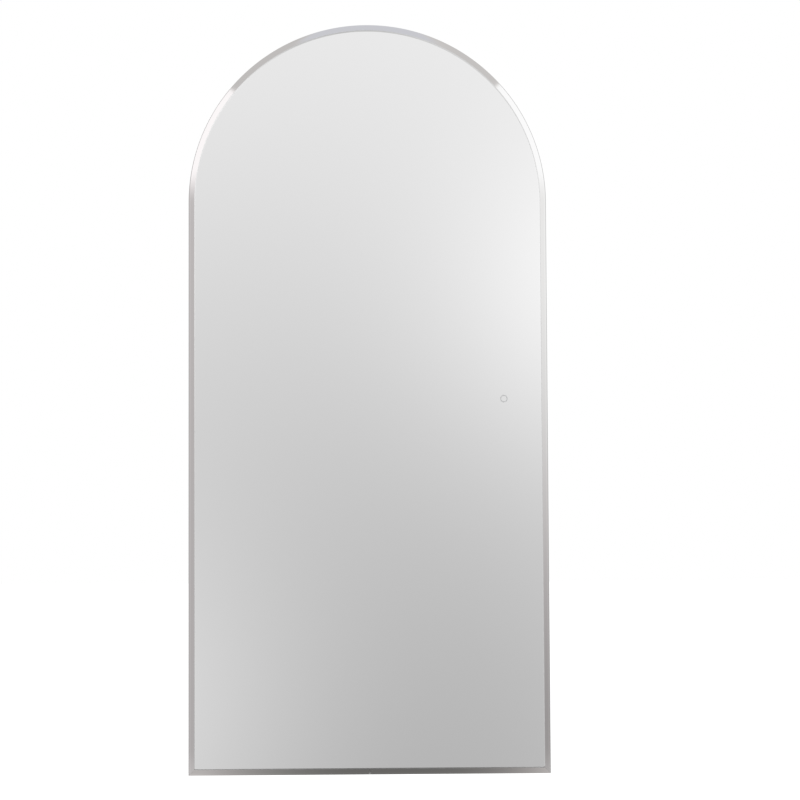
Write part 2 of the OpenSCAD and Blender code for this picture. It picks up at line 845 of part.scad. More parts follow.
module channel_rivets() {
    color([0.8, 0.8, 0.8])
    on_rim(stations(rivet_angles, rivet_zs, rivet_xs))
        translate([-channel_mid, 0, 0]) {
            rod(rivet_r, plate_front_y, plate_back_y);
            flush_head(rivet_r, flush_head_r, plate_back_y, channel_floor_y);
        }
}

// The butt gap of a piece that runs round the rim
module rim_gap(front, back) {
    block([-seam_gap, front - past, base_z],
          [seam_gap, back + past, base_z + channel_inset + channel_w + past]);
}

module led_strip() {
    color([0.95, 0.95, 0.93])
    difference() {
        slab(channel_floor_y, strip_back_y) band(strip_edge, strip_edge + strip_w);
        rim_gap(channel_floor_y, strip_back_y);
    }
}

chip_angles = [for (i = [0:arch_chips - 1]) 180 * (i + 0.5) / arch_chips];
chip_zs = [for (i = [0:leg_chips - 1]) arch_z - chip_pitch * (i + 0.5)];
chip_xs = [for (i = [0:bottom_chips - 1], side = [-1, 1]) side * chip_pitch * (i + 0.5)];

module led_chips() {
    color([0.98, 0.93, 0.6])
    on_rim(stations(chip_angles, chip_zs, chip_xs))
        block([-channel_mid - chip_w / 2, strip_back_y, -chip_l / 2],
              [-channel_mid + chip_w / 2, strip_back_y + chip_h, chip_l / 2]);
}

module diffuser() {
    color([0.97, 0.97, 0.97])
    difference() {
        slab(channel_back_y - diffuser_t, channel_back_y)
            band(channel_inset + channel_wall + snug, channel_inset + channel_w - channel_wall - snug);
        rim_gap(channel_back_y - diffuser_t, channel_back_y);
    }
}

// A long bar with round ends
module bar(length, w) {
    union() {
        translate([-w / 2, -length / 2 + w / 2]) square([w, length - w]);
        for (side = [-1, 1])
            translate([0, side * (length - w) / 2]) difference() {
                circle(w / 2);
                translate([-w, side > 0 ? -w : 0]) square([2 * w, w]);
            }
    }
}

module at_cover_ribs() {
    for (x = [-rib_spacing, 0, rib_spacing])
        translate([x, base_z + cover_rib_z]) children();
}

module back_cover() {
    color([0.7, 0.71, 0.73])
    difference() {
        union() {
            slab(cover_front_y, cover_back_y) outline(cover_inset);
            slab(cover_back_y, cover_back_y + cover_rib_h) at_cover_ribs() bar(cover_rib_len, cover_rib_w);
        }
        slab(cover_front_y - past, cover_front_y + cover_rib_h)
            at_cover_ribs() bar(cover_rib_len - 2 * cover_t, cover_rib_w - 2 * cover_t);
        on_rim(stations(cover_angles, cover_zs, cover_xs))
            translate([-flange_mid, 0, 0])
                rod(cover_screw_r + loose, cover_front_y - past, cover_back_y + past);
        at_posts() rod(post_screw_r + loose, cover_front_y - past, cover_back_y + past);
        translate([inlet_x, 0, inlet_z])
            rod(grommet_neck_r + snug, cover_front_y - past, cover_back_y + past);
    }
}

module back_cover_screws() {
    color([0.8, 0.8, 0.78])
    on_rim(stations(cover_angles, cover_zs, cover_xs))
        translate([-flange_mid, 0, 0])
            pan_screw(cover_screw_r, cover_head_r, cover_head_t, cover_back_y, cover_screw_tip);
}

module mains_grommet() {
    color([0.12, 0.12, 0.13])
    translate([inlet_x, 0, inlet_z])
        difference() {
            union() {
                rod(grommet_r, cover_front_y - grommet_lip, cover_front_y);
                rod(grommet_neck_r, cover_front_y, cover_back_y);
                rod(grommet_r, cover_back_y, cover_back_y + grommet_lip);
            }
            rod(inlet_r, cover_front_y - grommet_lip - past, cover_back_y + grommet_lip + past);
        }
}

pole_xs = [for (i = [0:poles - 1]) block_x + (i - (poles - 1) / 2) * pole_pitch];

module at_block_tabs() {
    for (side = [-1, 1])
        translate([block_x + side * (block_len - pole_pitch) / 2, 0, block_top_z + block_tab / 2])
            children();
}

module terminal_block() {
    color([0.92, 0.92, 0.88])
    difference() {
        union() {
            block([block_x - block_len / 2, plate_back_y, block_low_z],
                  [block_x + block_len / 2, plate_back_y + block_t, block_top_z]);
            block([block_x - block_len / 2, plate_back_y, block_top_z],
                  [block_x + block_len / 2, plate_back_y + tab_t, block_top_z + block_tab]);
        }
        for (x = pole_xs, row = [-1, 1])
            translate([x, 0, block_z + row * block_h / 4])
                rod(pole_r, plate_back_y + block_t - pole_well, plate_back_y + block_t + past);
        at_block_tabs() rod(cover_screw_r + loose, plate_back_y - past, plate_back_y + tab_t + past);
    }
}

module terminal_screws() {
    seat = plate_back_y + block_t - pole_well;
    color([0.85, 0.76, 0.45])
    for (x = pole_xs, row = [-1, 1])
        translate([x, 0, block_z + row * block_h / 4])
            difference() {
                rod(pole_r - loose, seat, seat + pole_screw_t);
                block([-pole_r, seat + pole_screw_t - screw_slot, -screw_slot / 2],
                      [pole_r, seat + pole_screw_t + past, screw_slot / 2]);
            }
}

module terminal_block_screws() {
    color([0.8, 0.8, 0.78])
    at_block_tabs()
        pan_screw(cover_screw_r, cover_head_r, cover_head_t, plate_back_y + tab_t, plate_front_y);
}

module at_stud() {
    translate([stud_x, 0, stud_z]) children();
}

module earth_stud() {
    color([0.8, 0.8, 0.8])
    at_stud() rod(stud_r, plate_back_y, plate_back_y + stud_len);
}

// A washer and two hexagon nuts, below and above the lug
module earth_nuts() {
    above = lug_y + lug_t / 2;
    color([0.86, 0.79, 0.5])
    at_stud() {
        difference() {
            rod(nut_r, plate_back_y, plate_back_y + nut_t, 6);
            rod(stud_r + snug, plate_back_y - past, plate_back_y + nut_t + past);
        }
        difference() {
            rod(washer_r, above, above + washer_t);
            rod(stud_r + snug, above - past, above + washer_t + past);
        }
        difference() {
            rod(nut_r, above + washer_t + snug, above + washer_t + snug + nut_t, 6);
            rod(stud_r + snug, above, above + washer_t + nut_t + past);
        }
    }
}

module earth_lug() {
    color([0.85, 0.72, 0.4])
    at_stud() difference() {
        union() {
            rod(lug_r, lug_y - lug_t / 2, lug_y + lug_t / 2);
            block([-lug_tail, lug_y - lug_t / 2, -lug_w / 2], [-stud_r - 1, lug_y + lug_t / 2, lug_w / 2]);
        }
        rod(stud_r + snug, lug_y - past, lug_y + past);
    }
}

// The screw ears at the lower corners of the driver
ear_w = 12;
ear_t = 2;
module at_driver_ears() {
    for (side = [-1, 1])
        translate([driver_x + side * (driver_len + ear_len) / 2, 0, driver_low_z + ear_w / 2]) children();
}

module driver_case() {
    color([0.93, 0.93, 0.92])
    difference() {
        union() {
            block([driver_left, plate_back_y, driver_low_z], [driver_right, driver_lid_y, driver_top_z]);
            block([driver_left - ear_len, plate_back_y, driver_low_z],
                  [driver_right + ear_len, plate_back_y + ear_t, driver_low_z + ear_w]);
        }
        block([driver_left + driver_wall, driver_floor_y, driver_low_z + driver_wall],
              [driver_right - driver_wall, driver_lid_y + past, driver_top_z - driver_wall]);
        at_driver_ears()
            rod(cover_screw_r + loose, plate_back_y - past, plate_back_y + ear_t + past);
        for (z = [led_lead_z, sensor_lead_z])
            translate([driver_right, lead_y, z]) rod_x(lead_r + hole_play, -driver_wall - past, past);
        translate([driver_left, supply_y, driver_z]) rod_x(supply_r + hole_play, -past, driver_wall + past);
    }
}

module driver_board() {
    edge = driver_wall + board_gap;
    color([0.16, 0.42, 0.24])
    union() {
        block([driver_left + edge + 4, board_y, driver_low_z + edge],
              [driver_right - edge - 4, board_y + board_t, driver_top_z - edge]);
        for (x = [driver_left + stub_inset_x, driver_right - stub_inset_x], z = [-1, 1])
            translate([x, 0, driver_z + z * (driver_h / 2 - stub_inset_z)])
                rod(stub_r, driver_floor_y, board_y);
    }
}

// A block on the driver's board, from its left edge and its middle height
module driver_block(left, z, w, h, top) {
    block([left, board_y + board_t, driver_z + z - h / 2], [left + w, top, driver_z + z + h / 2]);
}

module driver_components() {
    tall = driver_lid_y - board_gap;
    low = tall - board_gap;
    filter_x = transformer_x - part_gap - filter_w;
    sink_x = transformer_x + transformer_w + part_gap;
    color([0.2, 0.2, 0.22]) {
        driver_block(transformer_x, 1, transformer_w, transformer_h, tall);
        driver_block(sink_x, 0, sink_w, sink_h, tall);
        for (side = [-1, 1])
            translate([filter_x + filter_w / 2 + side * 1.4 * capacitor_r, 0, driver_z + capacitor_up])
                rod(capacitor_r, board_y + board_t, tall);
        driver_block(filter_x, filter_h / 2 - filter_low, filter_w, filter_h, low);
        driver_block(sink_x + sink_w + part_gap, 0, choke_w, choke_h, low);
    }
}

module driver_lid() {
    rim = driver_wall + loose;
    color([0.95, 0.95, 0.94])
    union() {
        block([driver_left, driver_lid_y, driver_low_z], [driver_right, driver_back_y, driver_top_z]);
        difference() {
            block([driver_left + rim, driver_lid_y - 1, driver_low_z + rim],
                  [driver_right - rim, driver_lid_y, driver_top_z - rim]);
            block([driver_left + rim + 1, driver_lid_y - 1 - past, driver_low_z + rim + 1],
                  [driver_right - rim - 1, driver_lid_y, driver_top_z - rim - 1]);
        }
    }
}

module driver_screws() {
    color([0.8, 0.8, 0.78])
    at_driver_ears()
        pan_screw(cover_screw_r, cover_head_r, cover_head_t, plate_back_y + ear_t, plate_front_y);
}

module sensor_pad() {
    color([0.2, 0.2, 0.21])
    at_touch() rod(pad_r, glass_back_y, sensor_front_y, 96);
}

module sensor_case() {
    color([0.9, 0.9, 0.89])
    at_touch() difference() {
        block([-sensor_w / 2, sensor_front_y, -sensor_h / 2],
              [sensor_w / 2, sensor_back_y - sensor_wall, sensor_h / 2]);
        block([-sensor_w / 2 + sensor_wall, sensor_front_y + sensor_wall, -sensor_h / 2 + sensor_wall],
              [sensor_w / 2 - sensor_wall, sensor_back_y, sensor_h / 2 - sensor_wall]);
        translate([0, lead_y, sensor_h / 2]) rotate([0, -90, 0])
            rod_x(lead_r + hole_play, -sensor_wall - past, past);
    }
}

module sensor_board() {
    edge = sensor_wall + 0.3;
    color([0.16, 0.42, 0.24])
    at_touch() union() {
        block([-sensor_w / 2 + edge, sensor_board_y, -sensor_h / 2 + edge],
              [sensor_w / 2 - edge, sensor_board_y + 1, sensor_h / 2 - edge]);
        rod(3, sensor_front_y + sensor_wall, sensor_board_y);
    }
}

module sensor_lid() {
    color([0.93, 0.93, 0.92])
    at_touch()
        block([-sensor_w / 2, sensor_back_y - sensor_wall, -sensor_h / 2],
              [sensor_w / 2, sensor_back_y, sensor_h / 2]);
}

module sensor_lead() {
    color([0.95, 0.95, 0.95]) tube(sensor_route, lead_r, lead_sides);
}

module led_lead() {
    color([0.95, 0.95, 0.95]) tube(led_route, lead_r, lead_sides);
}

module mains_lead() {
    color([0.9, 0.9, 0.9]) tube(mains_route, supply_r, supply_sides);
}

module earth_lead() {
    color([0.45, 0.7, 0.2]) tube(earth_route, earth_r, lead_sides);
}

// Rubber bush for the light strip's lead, snapped into the housing wall
bush_neck_r = lead_r + 0.8;
bush_r = lead_r + 1.6;
module lead_bush() {
    inside = -housing_t;
    color([0.12, 0.12, 0.13])
    translate([half_w - housing_inset, lead_y, led_lead_z])
        difference() {
            union() {
                rod_x(bush_r, inside - 1.5, inside);
                rod_x(bush_neck_r, inside, 0);
                rod_x(bush_r, 0, 1.5);
            }
            rod_x(lead_r + snug, inside - 2 - past, 1.5 + past);
        }
}

// A glued-down clip that a lead runs through along X
clip_l = 8;
clip_w = 7;
module lead_clip() {
    difference() {
        block([-clip_l / 2, plate_back_y, -clip_w / 2], [clip_l / 2, lead_y + lead_r + 1.5, clip_w / 2]);
        translate([0, lead_y, 0]) rod_x(lead_r + hole_play, -clip_l, clip_l);
    }
}

module lead_clips() {
    color([0.85, 0.85, 0.83]) {
        translate([touch_x - 2, 0, sensor_clip_z]) rotate([0, 87, 0]) lead_clip();
        translate([sensor_clip_x, 0, sensor_lead_z]) lead_clip();
        for (x = led_clip_xs)
            translate([x, 0, led_lead_z]) lead_clip();
    }
}

module hanger_rail() {
    plate_y = cover_back_y + rail_t;
    plate_top_z = web_z + rail_t + hanger_plate_h;
    hook_front_y = hook_back_y - rail_t;
    color([0.8, 0.82, 0.84])
    difference() {
        translate([-hanger_rail_len / 2, 0, 0])
            rotate([90, 0, 90])
                linear_extrude(hanger_rail_len)
                    polygon([
                        [cover_back_y, web_z], [hook_front_y, web_z], [hook_front_y, web_z - hook_depth],
                        [hook_back_y, web_z - hook_depth], [hook_back_y, web_z + rail_t],
                        [plate_y, web_z + rail_t], [plate_y, plate_top_z], [cover_back_y, plate_top_z]
                    ]);
        at_hanger_posts() rod(post_screw_r + loose, cover_back_y - past, plate_y + past);
    }
}

module hanger_screws() {
    seat = cover_back_y + rail_t;
    color([0.8, 0.8, 0.78])
    at_hanger_posts()
        pan_screw(post_screw_r, post_head_r, post_head_t, seat, cover_front_y - post_thread + 1);
}

module wall_bumpers() {
    color([0.13, 0.13, 0.14])
    at_bumpers() difference() {
        rod(bumper_r, cover_back_y, 0, 96);
        rod(post_screw_r + loose, cover_back_y - past, past);
        rod(post_head_r + 0.6, -bumper_sink, past);
    }
}

module bumper_screws() {
    color([0.8, 0.8, 0.78])
    at_bumpers()
        pan_screw(post_screw_r, post_head_r, post_head_t, -bumper_sink, cover_front_y - post_thread + 1);
}

module wall_rail() {
    lip_y = -lip_gap;
    color([0.74, 0.76, 0.78])
    difference() {
        translate([-wall_rail_len / 2, 0, 0])
            rotate([90, 0, 90])
                linear_extrude(wall_rail_len)
                    polygon([
                        [0, rail_foot_z], [0, lip_low_z], [lip_y, lip_low_z], [lip_y, lip_top_z],
                        [lip_y - rail_t, lip_top_z], [lip_y - rail_t, rail_step_z], [-rail_t, rail_step_z],
                        [-rail_t, rail_foot_z]
                    ]);
        for (x = [-screw_spacing / 2, -inner_screw_spacing / 2, inner_screw_spacing / 2, screw_spacing / 2])
            translate([x, 0, 0]) rod(wall_hole_d / 2, -rail_t - past, past);
    }
}

frame_profile();
corner_keys();
seam_key();
key_grub_screws();
glazing_tape();
mirror_glass();
touch_ring();
safety_film();
mounting_tape();
back_plate();
retaining_plates();
retaining_screws();
housing_wall();
housing_rivets();
led_channel();
channel_rivets();
led_strip();
led_chips();
diffuser();
cover_posts();
back_cover();
back_cover_screws();
mains_grommet();
terminal_block();
terminal_screws();
terminal_block_screws();
earth_stud();
earth_nuts();
earth_lug();
driver_case();
driver_board();
driver_components();
driver_lid();
driver_screws();
sensor_pad();
sensor_case();
sensor_board();
sensor_lid();
sensor_lead();
led_lead();
mains_lead();
earth_lead();
lead_bush();
lead_clips();
hanger_rail();
hanger_screws();
wall_bumpers();
bumper_screws();
wall_rail();
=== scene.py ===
"""Looks of the arch-topped mirror lamp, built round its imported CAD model. Metres, Z up, +Y into the wall."""
import math

import bmesh
import bpy
from bpy.props import FloatProperty, FloatVectorProperty, IntProperty, PointerProperty
from mathutils import Matrix, Vector


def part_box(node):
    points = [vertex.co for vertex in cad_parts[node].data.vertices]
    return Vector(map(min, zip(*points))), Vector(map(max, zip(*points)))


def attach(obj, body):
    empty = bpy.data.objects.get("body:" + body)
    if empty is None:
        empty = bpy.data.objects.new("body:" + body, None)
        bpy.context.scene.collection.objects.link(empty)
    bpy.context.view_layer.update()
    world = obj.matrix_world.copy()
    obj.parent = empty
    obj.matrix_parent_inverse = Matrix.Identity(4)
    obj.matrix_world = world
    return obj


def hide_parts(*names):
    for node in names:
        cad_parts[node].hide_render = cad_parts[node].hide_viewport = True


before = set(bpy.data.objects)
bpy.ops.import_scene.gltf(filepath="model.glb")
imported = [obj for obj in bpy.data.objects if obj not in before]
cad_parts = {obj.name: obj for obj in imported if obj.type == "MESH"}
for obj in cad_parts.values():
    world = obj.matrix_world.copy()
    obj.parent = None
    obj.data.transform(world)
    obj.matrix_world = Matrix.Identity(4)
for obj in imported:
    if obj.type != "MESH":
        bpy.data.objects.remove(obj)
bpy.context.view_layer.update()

bl_info = {
    "name": "Arch mirror lamp",
    "version": (1, 0, 0),
    "blender": (4, 5, 0),
    "location": "3D View > Sidebar > Mirror lamp",
    "description": "Trim, housing, hanging rails, finishes and studio of a back-lit arch mirror",
    "category": "Add Mesh",
}

MM = 0.001
TINY = 2e-5
SHARP = 1.2  # radians between two faces, from which their edge is bevelled
LOW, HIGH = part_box("frame_profile")
HALF_W = HIGH.x
BASE_Z = LOW.z
ARCH_Z = HIGH.z - HALF_W
LEG_H = ARCH_Z - BASE_Z
COVER_LOW, COVER_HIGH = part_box("back_cover")
GLASS_LOW, GLASS_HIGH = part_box("mirror_glass")

# Sizes and depths in mm of the frame, the back plate and the sheet metal
FACE_W = 10
LIP_H = 4.2
SHEET = 1.2
PLATE_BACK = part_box("back_plate")[1].y / MM
COVER_BACK = COVER_LOW.y / MM + SHEET

# Places (x, z) of what is screwed through the cover, and of the cable inlet
POSTS = [(x * MM, 37.3 * MM) for x in (-150, -50, 50, 150)]
FEET = [(x * MM, -910 * MM) for x in (-190, 190)]
INLET_X, INLET_Z = -215 * MM, -60 * MM

# Stations round the rim: degrees on the arch, and shares of the legs' height and of the bar's half length
HOLDERS = {"angles": (30, 90, 150), "heights": (0.1, 0.5, 0.9), "places": (-0.5, 0.5)}
COVER_EDGE = {"angles": (10, 50, 90, 130, 170), "heights": (0.15, 0.4, 0.65, 0.88), "places": (-0.6, 0, 0.6)}


# Settings


class TrimSettings(bpy.types.PropertyGroup):
    """Frame round the mirror."""

    face_tilt: FloatProperty(
        name="Face tilt", description="Slope of the frame's face towards its outer edge",
        default=math.radians(20), subtype="ANGLE", unit="ROTATION")
    shoulder_tilt: FloatProperty(
        name="Shoulder tilt", description="Slope of the narrow shoulder beside the outer edge",
        default=math.radians(26), subtype="ANGLE", unit="ROTATION")
    shoulder: FloatProperty(
        name="Shoulder", description="Distance from the outer edge at which the shoulder starts",
        default=3.8 * MM, subtype="DISTANCE", unit="LENGTH")
    edge_radius: FloatProperty(
        name="Edge radius", description="Radius of the rounded outer edge",
        default=2 * MM, subtype="DISTANCE", unit="LENGTH")
    seam: FloatProperty(
        name="Seam", description="Gap at the butt seam in the middle of the bottom bar",
        default=0.3 * MM, subtype="DISTANCE", unit="LENGTH")
    hairline: FloatProperty(
        name="Hairline", description="Gap at each mitred corner",
        default=0.08 * MM, subtype="DISTANCE", unit="LENGTH")
    arch_steps: IntProperty(
        name="Arch steps", description="Steps in each half of the arch", default=120, min=24)
    alloy: FloatVectorProperty(
        name="Alloy", description="Colour of the polished alloy",
        default=(0.86, 0.855, 0.85), size=3, subtype="COLOR")


class GlassSettings(bpy.types.PropertyGroup):
    """Mirror glass and touch ring."""

    silver: FloatVectorProperty(
        name="Silver", description="Reflectance of the silvered glass",
        default=(0.907, 0.905, 0.9085), size=3, subtype="COLOR")
    # Width of a painted highlight: a lighter line in the silver along the lip, for the polished lip's
    # reflection
    painted_line_width: FloatProperty(
        name="Border", description="Width of the brighter line that the polished lip throws on the glass",
        default=2.2 * MM, subtype="DISTANCE", unit="LENGTH")
    ring: FloatVectorProperty(
        name="Ring", description="Reflectance of the frosted touch ring",
        default=(0.69, 0.695, 0.7), size=3, subtype="COLOR")


class HousingSettings(bpy.types.PropertyGroup):
    """Housing, cover and light channel."""

    paint: FloatVectorProperty(
        name="Cover paint", description="Colour of the cover's powder coat",
        default=(0.7, 0.71, 0.72), size=3, subtype="COLOR")
    bend_radius: FloatProperty(
        name="Bend radius", description="Outer radius of the bends in sheet metal",
        default=2 * MM, subtype="DISTANCE", unit="LENGTH")
    opal_crown: FloatProperty(
        name="Opal crown", description="Height of the opal profile's crown over its edges",
        default=0.9 * MM, subtype="DISTANCE", unit="LENGTH")
    cover_bevel: FloatProperty(
        name="Cover bevel", description="Bevel on the cover's edges",
        default=0.3 * MM, subtype="DISTANCE", unit="LENGTH")


class HangingSettings(bpy.types.PropertyGroup):
    """Rails, screws, bumpers and grommet."""

    rubber: FloatVectorProperty(
        name="Rubber", description="Colour of the bumpers and the grommet",
        default=(0.028, 0.028, 0.03), size=3, subtype="COLOR")
    recess: FloatProperty(
        name="Recess", description="Depth of a screw's cross recess as a share of its head",
        default=0.62, min=0.3, max=0.8, subtype="FACTOR")
    burr: FloatProperty(
        name="Hole chamfer", description="Chamfer at the mouths of the wall rail's holes",
        default=0.35 * MM, subtype="DISTANCE", unit="LENGTH")


class StudioSettings(bpy.types.PropertyGroup):
    """Light, floor and camera."""

    room_level: FloatProperty(
        name="Room level", description="Level of the even light from all round", default=0.62, min=0)
    key_power: FloatProperty(
        name="Key power", description="Power of the large lamp at the front left",
        default=58, min=0, unit="POWER")
    fill_power: FloatProperty(
        name="Fill power", description="Power of the lamps at the right and behind",
        default=36, min=0, unit="POWER")
    scrim_radius: FloatProperty(
        name="Scrim radius", description="Radius of the scrim that polished faces mirror",
        default=4.6, subtype="DISTANCE", unit="LENGTH")
    floor_height: FloatProperty(
        name="Floor", description="Height of the floor below the wall rail's screws",
        default=-1.65, subtype="DISTANCE", unit="LENGTH")
    camera_place: FloatVectorProperty(
        name="Camera", description="Place of the camera",
        default=(0.0034, -3.1785, -0.533), size=3, subtype="TRANSLATION", unit="LENGTH")
    camera_turn: FloatVectorProperty(
        name="Camera turn", description="Yaw to the right, pitch upwards and roll of the camera",
        default=(math.radians(0.899), math.radians(2.758), math.radians(-0.29)), size=3,
        subtype="EULER", unit="ROTATION")
    lens: FloatProperty(
        name="Lens", description="Focal length", default=85, subtype="DISTANCE_CAMERA", unit="CAMERA")


# Modelling


def clear_selection():
    active = bpy.context.view_layer.objects.active
    if active and active.mode != "OBJECT":
        bpy.ops.object.mode_set(mode="OBJECT")
    bpy.ops.object.select_all(action="DESELECT")


def choose(*pieces):
    """Selects these pieces alone; the first is the active one."""
    clear_selection()
    for piece in pieces:
        piece.select_set(True)
    bpy.context.view_layer.objects.active = pieces[0]


def edit(piece):
    choose(piece)
    bpy.ops.object.mode_set(mode="EDIT")


def added(name):
    """Names the primitive that was just added and puts its place into its mesh."""
    piece = bpy.context.object
    piece.name = piece.data.name = name
    bpy.ops.object.transform_apply(location=True, rotation=True, scale=True)
    return piece


def pick(piece, test, kind="VERT"):
    """Selects the vertices, edges or faces that pass a test, and nothing else."""
    bpy.ops.mesh.select_mode(type=kind)
    bpy.ops.mesh.select_all(action="DESELECT")
    mesh = bmesh.from_edit_mesh(piece.data)
    for item in {"VERT": mesh.verts, "EDGE": mesh.edges, "FACE": mesh.faces}[kind]:
        if test(item):
            item.select_set(True)
    mesh.select_flush_mode()
    bmesh.update_edit_mesh(piece.data)


def extrude(x=0.0, y=0.0, z=0.0):
    bpy.ops.mesh.extrude_region_move(TRANSFORM_OT_translate={"value": (x, y, z)})


def draw(name, points, closed=True):
    """A new piece in edit mode: one vertex, extruded from point to point."""
    clear_selection()
    bpy.ops.mesh.primitive_plane_add(size=MM, location=points[0])
    piece = added(name)
    edit(piece)
    bpy.ops.mesh.select_mode(type="VERT")
    bpy.ops.mesh.select_all(action="SELECT")
    bpy.ops.mesh.merge(type="CENTER")
    for here, there in zip(points, points[1:]):
        extrude(*(Vector(there) - Vector(here)))
    if closed:
        pick(piece, lambda v: len(v.link_edges) == 1)
        bpy.ops.mesh.edge_face_add()
    bpy.ops.mesh.select_all(action="SELECT")
    return piece


def rounded(corners, steps=5):
    """Corners (a, b, radius) of a closed section, with each one rounded by its radius."""
    out = []
    for i, (a, b, radius) in enumerate(corners):
        here = Vector((a, b))
        if not radius:
            out.append(tuple(here))
            continue
        back = (Vector(corners[i - 1][:2]) - here).normalized()
        ahead = (Vector(corners[(i + 1) % len(corners)][:2]) - here).normalized()
        half = back.angle(ahead) / 2
        centre = here + (back + ahead).normalized() * radius / math.sin(half)
        first = here + back * radius / math.tan(half) - centre
        last = here + ahead * radius / math.tan(half) - centre
        turn = first.angle_signed(last)
        for k in range(steps + 1):
            arm = first.copy()
            arm.rotate(Matrix.Rotation(-turn * k / steps, 2))
            out.append(tuple(centre + arm))
    return out


def apply_modifier(piece, kind, **settings):
    choose(piece)
    modifier = piece.modifiers.new(kind.title(), kind)
    for key, value in settings.items():
        setattr(modifier, key, value)
    bpy.ops.object.modifier_apply(modifier=modifier.name)


def close_up(piece):
    """Merges doubles and turns every face outwards."""
    edit(piece)
    bpy.ops.mesh.select_mode(type="VERT")
    bpy.ops.mesh.select_all(action="SELECT")
    bpy.ops.mesh.remove_doubles(threshold=1e-6)
    bpy.ops.mesh.normals_make_consistent(inside=False)
    clear_selection()


def sweep_round_rim(name, section, steps, gap=0.0, hairline=None):
    """A section of (inset, depth) in mm, carried round the right half of the rim and mirrored.
    With a hairline the legs end at their mitres, and the bottom bar isn't made."""
    piece = draw(name, [(HALF_W - u * MM, y * MM, ARCH_Z) for u, y in section])
    bpy.ops.mesh.spin(steps=steps, angle=math.pi / 2, center=(0, 0, ARCH_Z), axis=(0, 1, 0))
    pick(piece, lambda v: abs(v.co.z - ARCH_Z) < TINY and v.co.x > HALF_W / 2)
    extrude(z=-LEG_H)
    pick(piece, lambda v: v.co.z < ARCH_Z + TINY)
    shift = (hairline or 0.0) / 2
    bpy.ops.mesh.bisect(
        plane_co=(HALF_W, 0, BASE_Z + shift * math.sqrt(2)), plane_no=(1, 0, 1),
        clear_inner=True, use_fill=hairline is not None, threshold=TINY)
    if hairline is None:
        pick(piece, lambda v: abs(v.co.x + v.co.z - HALF_W - BASE_Z) < TINY)
        extrude(x=-HALF_W)
        pick(piece, lambda v: v.co.z < BASE_Z + LEG_H / 4)
        bpy.ops.mesh.bisect(
            plane_co=(gap / 2, 0, 0), plane_no=(1, 0, 0), clear_inner=True, use_fill=gap > 0)
    apply_modifier(piece, "MIRROR", merge_threshold=TINY)
    return piece


def lathe(name, section, centre=(0, 0), closed=False, steps=48):
    """A section of (radius, depth) in mm, spun round a line along Y through centre (x, z)."""
    x, z = centre
    piece = draw(name, [(x + r * MM, y * MM, z) for r, y in section], closed)
    bpy.ops.mesh.spin(steps=steps, angle=2 * math.pi, center=(x, 0, z), axis=(0, 1, 0))
    close_up(piece)
    return piece


def extrude_along_x(name, section, length):
    """A section of (depth, height) in mm, extruded along X and centred on it."""
    piece = draw(name, [(-length / 2, y * MM, z * MM) for y, z in section])
    bpy.ops.mesh.edge_face_add()
    extrude(x=length)
    close_up(piece)
    return piece


def bevel_edges(piece, test, width, segments=2):
    edit(piece)
    pick(piece, test, "EDGE")
    bpy.ops.mesh.bevel(offset=width, segments=segments, affect="EDGES")
    clear_selection()


def cut_with(piece, cutter):
    apply_modifier(piece, "BOOLEAN", operation="DIFFERENCE", solver="EXACT", object=cutter)
    bpy.data.objects.remove(cutter)


def copy_to(piece, places):
    """Copies a piece to places (x, z, turn about Y), joins the copies and removes the pattern."""
    name, copies = piece.name, []
    for x, z, turn in places:
        choose(piece)
        bpy.ops.object.duplicate(linked=False)
        copy = bpy.context.object
        copy.location, copy.rotation_euler = (x, 0, z), (0, turn, 0)
        bpy.ops.object.transform_apply(location=True, rotation=True, scale=False)
        copies.append(copy)
    bpy.data.objects.remove(piece)
    choose(*copies)
    bpy.ops.object.join()
    copies[0].name = copies[0].data.name = name
    return copies[0]


def stations(angles, heights, places, inset=0.0):
    """Places (x, z, turn) on the arch, the legs and the bar, drawn in by inset. Local X looks outwards."""
    turns = [math.radians(angle) for angle in angles]
    out = [(turn, HALF_W * math.cos(turn), ARCH_Z + HALF_W * math.sin(turn)) for turn in turns]
    out += [(0.0, HALF_W, BASE_Z + share * LEG_H) for share in heights]
    out += [(math.pi, -HALF_W, BASE_Z + share * LEG_H) for share in heights]
    out += [(-math.pi / 2, share * HALF_W, BASE_Z) for share in places]
    return [(x - inset * math.cos(a), z - inset * math.sin(a), -a) for a, x, z in out]


def finish_piece(piece, slot, *nodes, body="lamp", angle=32):
    """Shades a piece, gives it its finish and puts it in the place of its CAD nodes."""
    choose(piece)
    bpy.ops.object.shade_smooth_by_angle(angle=math.radians(angle))
    piece.data.materials.clear()
    piece.data.materials.append(bpy.data.materials[slot + "_finish"])
    clear_selection()
    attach(piece, body)
    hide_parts(*nodes)
    return piece


# Shader maths


class Value:
    """What a node puts out. Sums on values add Math nodes."""

    def __init__(self, finish, socket):
        self.finish, self.socket = finish, socket

    def sum(self, operation, first, second=0.0):
        return self.finish.node("ShaderNodeMath", {"operation": operation}, {0: first, 1: second})

    def __add__(self, other):
        return self.sum("ADD", self, other)

    def __sub__(self, other):
        return self.sum("SUBTRACT", self, other)

    def __rsub__(self, other):
        return self.sum("SUBTRACT", other, self)

    def __mul__(self, other):
        return self.sum("MULTIPLY", self, other)

    def __truediv__(self, other):
        return self.sum("DIVIDE", self, other)

    def __pow__(self, other):
        return self.sum("POWER", self, other)

    def __abs__(self):
        return self.sum("ABSOLUTE", self)

    def least(self, other):
        return self.sum("MINIMUM", self, other)

    def most(self, other):
        return self.sum("MAXIMUM", self, other)

    def towards(self, other, share):
        return self + (other - self) * share

    def step(self, low, high):
        """0 below low, 1 above high, and a smooth rise between them."""
        return self.finish.node("ShaderNodeMapRange", {"interpolation_type": "SMOOTHSTEP"},
                                {"Value": self, "From Min": low, "From Max": high})

    __radd__ = __add__
    __rmul__ = __mul__


